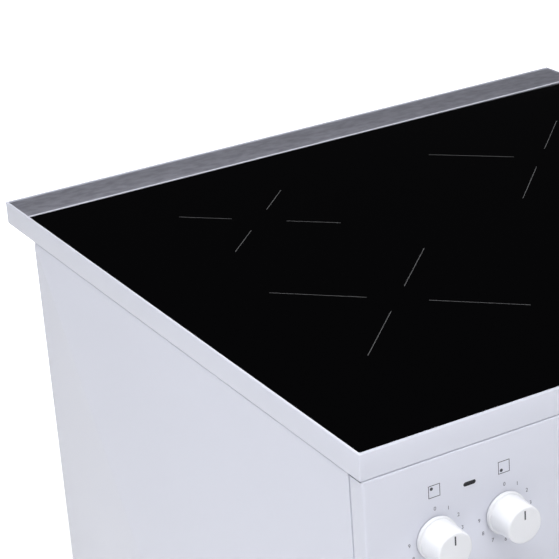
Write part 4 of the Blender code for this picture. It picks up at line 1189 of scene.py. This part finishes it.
def build_drawer_box():
    low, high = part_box("drawer_box")
    shell = block("drawer_tray", low, high, ZINC, upright=5 * MM, radius=0.9 * MM)
    space = block("drawer_space", (low.x + SHEET, low.y + SHEET, low.z + SHEET),
        (high.x - SHEET, high.y - SHEET, high.z + 20 * MM), upright=4 * MM)
    shell = carve(shell, space)
    roll = 1.7 * MM
    corners = [(low.x + roll, low.y + roll, high.z - roll),
        (high.x - roll, low.y + roll, high.z - roll),
        (high.x - roll, high.y - roll, high.z - roll),
        (low.x + roll, high.y - roll, high.z - roll)]
    rim = tube("drawer_rim", bent(corners, 6 * MM, closed=True), roll, ZINC, closed=True)
    pads = []
    for x in (-0.160, -0.053, 0.053, 0.160):
        place = Matrix.Translation((x, (low.y + high.y) / 2, low.z + SHEET - 0.1 * MM))
        pads.append(pressing("drawer_pad", 0.070, 0.360, 1.8 * MM, 14 * MM, 4 * MM, place, ZINC))
    stands_for(merge("drawer_tray", [shell, rim, *pads]), "galvanised_steel", "drawer",
        "drawer_box")


# ---- Coils ------------------------------------------------------------------------------


def build_coil_windings():
    for zone in ZONES:
        low, high, middle = span(f"coil_winding_{zone}")
        outer, inner, wire = (high.x - low.x) / 2 - 2.0 * MM, 24 * MM, 1.9 * MM
        turns = int((outer - inner) / (2 * wire + 0.2 * MM))
        steps = turns * 36
        points = []
        for step in range(steps + 1):
            angle = 2 * math.pi * turns * step / steps
            radius = inner + (outer - inner) * step / steps
            points.append((middle.x + radius * math.cos(angle),
                middle.y + radius * math.sin(angle), middle.z))
        spiral = tube(f"litz_{zone}", points, wire, MATERIALS["copper_winding"], resolution=1)
        stands_for(spiral, "copper_winding", "cooker", f"coil_winding_{zone}")


# ---- Stage -----------------------------------------------------------------------------

CAMERA_PLACE = Vector((-0.8911, -1.2900, 1.4732))
CAMERA_AHEAD = Vector((0.4348, 0.8122, -0.3890))
CAMERA_UP = Vector((0.2473, 0.3076, 0.9188))
CAMERA_LENS = 130.08  # with a 36 mm sensor
LIT_POINT = Vector((0.0, 0.0, 0.6))  # where the lamps aim
FADE_START, FADE_END = 0.7, 3.0  # how far from the middle the floor turns white
FLOOR_REACH = 14.0


def build_camera():
    data = bpy.data.cameras.new("camera")
    data.lens = CAMERA_LENS
    data.sensor_width = 36.0
    camera = bpy.data.objects.new("camera", data)
    ahead = CAMERA_AHEAD.normalized()
    right = ahead.cross(CAMERA_UP).normalized()
    up = right.cross(ahead)
    turn = Matrix((right, up, -ahead)).transposed().to_4x4()
    camera.matrix_world = Matrix.Translation(CAMERA_PLACE) @ turn
    bpy.context.scene.collection.objects.link(camera)
    bpy.context.scene.camera = camera


def lamp(name, place, size, power, colour):
    """A soft lamp that lights surfaces without being mirrored in them."""
    data = bpy.data.lights.new(name, "AREA")
    data.shape = "DISK"
    data.size = size
    data.energy = power
    data.color = colour
    obj = bpy.data.objects.new(name, data)
    obj.location = place
    obj.rotation_euler = (LIT_POINT - Vector(place)).to_track_quat("-Z", "Y").to_euler()
    obj.visible_glossy = False
    bpy.context.scene.collection.objects.link(obj)


def build_world():
    """A soft dome, dim near the horizon, with an even white backdrop."""
    world = bpy.data.worlds.new("studio")
    bpy.context.scene.world = world
    world.use_nodes = True
    tree = world.node_tree
    tree.nodes.clear()
    out = tree.nodes.new("ShaderNodeOutputWorld")
    place = tree.nodes.new("ShaderNodeTexCoord")
    split = tree.nodes.new("ShaderNodeSeparateXYZ")
    ramp = tree.nodes.new("ShaderNodeValToRGB")
    # (height, brightness), with height 0 straight down and 1 straight up
    shades = ((0.0, 0.30), (0.47, 0.20), (0.53, 0.006), (0.88, 0.006), (0.96, 1.0), (1.0, 1.3))
    set_stops(ramp.color_ramp, [(height, (grey, grey, grey * 1.03)) for height, grey in shades])
    halve = dial(tree.nodes.new("ShaderNodeMapRange"), From_Min=-1.0)
    dome = dial(tree.nodes.new("ShaderNodeBackground"), Strength=1.0)
    backdrop = tree.nodes.new("ShaderNodeBackground")
    dial(backdrop, Color=(1.0, 1.0, 1.0, 1.0), Strength=1.0)
    path = tree.nodes.new("ShaderNodeLightPath")
    mix = tree.nodes.new("ShaderNodeMixShader")
    link = tree.links.new
    link(place.outputs["Generated"], split.inputs["Vector"])
    link(split.outputs["Z"], halve.inputs["Value"])
    link(halve.outputs["Result"], ramp.inputs["Fac"])
    link(ramp.outputs["Color"], dome.inputs["Color"])
    link(path.outputs["Is Camera Ray"], mix.inputs["Fac"])
    link(dome.outputs["Background"], mix.inputs[1])
    link(backdrop.outputs["Background"], mix.inputs[2])
    link(mix.outputs["Shader"], out.inputs["Surface"])


def fade_to_white(paint):
    """The floor brightens away from the object until it meets the backdrop with no edge."""
    place = paint.node("ShaderNodeTexCoord")
    reach = paint.node("ShaderNodeVectorMath", operation="LENGTH")
    paint.link(place.outputs["Object"], reach.inputs[0])
    spread = paint.node("ShaderNodeMapRange", interpolation_type="SMOOTHSTEP")
    dial(spread, From_Min=FADE_START, From_Max=FADE_END)
    paint.link(reach.outputs["Value"], spread.inputs["Value"])
    path = paint.node("ShaderNodeLightPath")
    seen = paint.node("ShaderNodeMath", operation="MULTIPLY")
    paint.link(spread.outputs["Result"], seen.inputs[0])
    paint.link(path.outputs["Is Camera Ray"], seen.inputs[1])
    dial(paint.shader, Emission_Color=(1.0, 1.0, 1.0, 1.0))
    paint.link(seen.outputs["Value"], paint.shader.inputs["Emission Strength"])


def build_stage():
    bpy.context.scene.view_settings.view_transform = "Standard"
    shape = bmesh.new()
    bmesh.ops.create_grid(shape, x_segments=1, y_segments=1, size=FLOOR_REACH)
    paint = Finish("floor", (0.90, 0.90, 0.91), 0.8, Specular_IOR_Level=0.1)
    paint.tint(paint.noise(3.0), (0.95, 0.95, 0.955), (0.965, 0.965, 0.97))
    fade_to_white(paint)
    floor = put("floor", shape, paint.material)
    build_world()
    lamp("overhead", (-0.5, -0.6, 3.6), 2.8, 88, (1, 1, 1))
    lamp("left", (-3.4, -0.6, 1.9), 2.4, 44, (0.97, 0.98, 1.0))
    lamp("front", (0.4, -3.6, 1.8), 2.4, 40, (0.98, 0.98, 1.0))
    lamp("rear", (1.6, 3.4, 2.2), 2.4, 40, (0.98, 0.98, 1.0))


paint_frame()
build_hob()
build_control_panel()
for knob, seat in KNOBS.items():
    build_knob(knob, seat)
build_doors()
build_sides()
build_rear()
build_feet()
build_base()
build_oven()
build_door_inside()
build_drawer_box()
build_coil_windings()
build_stage()
build_camera()
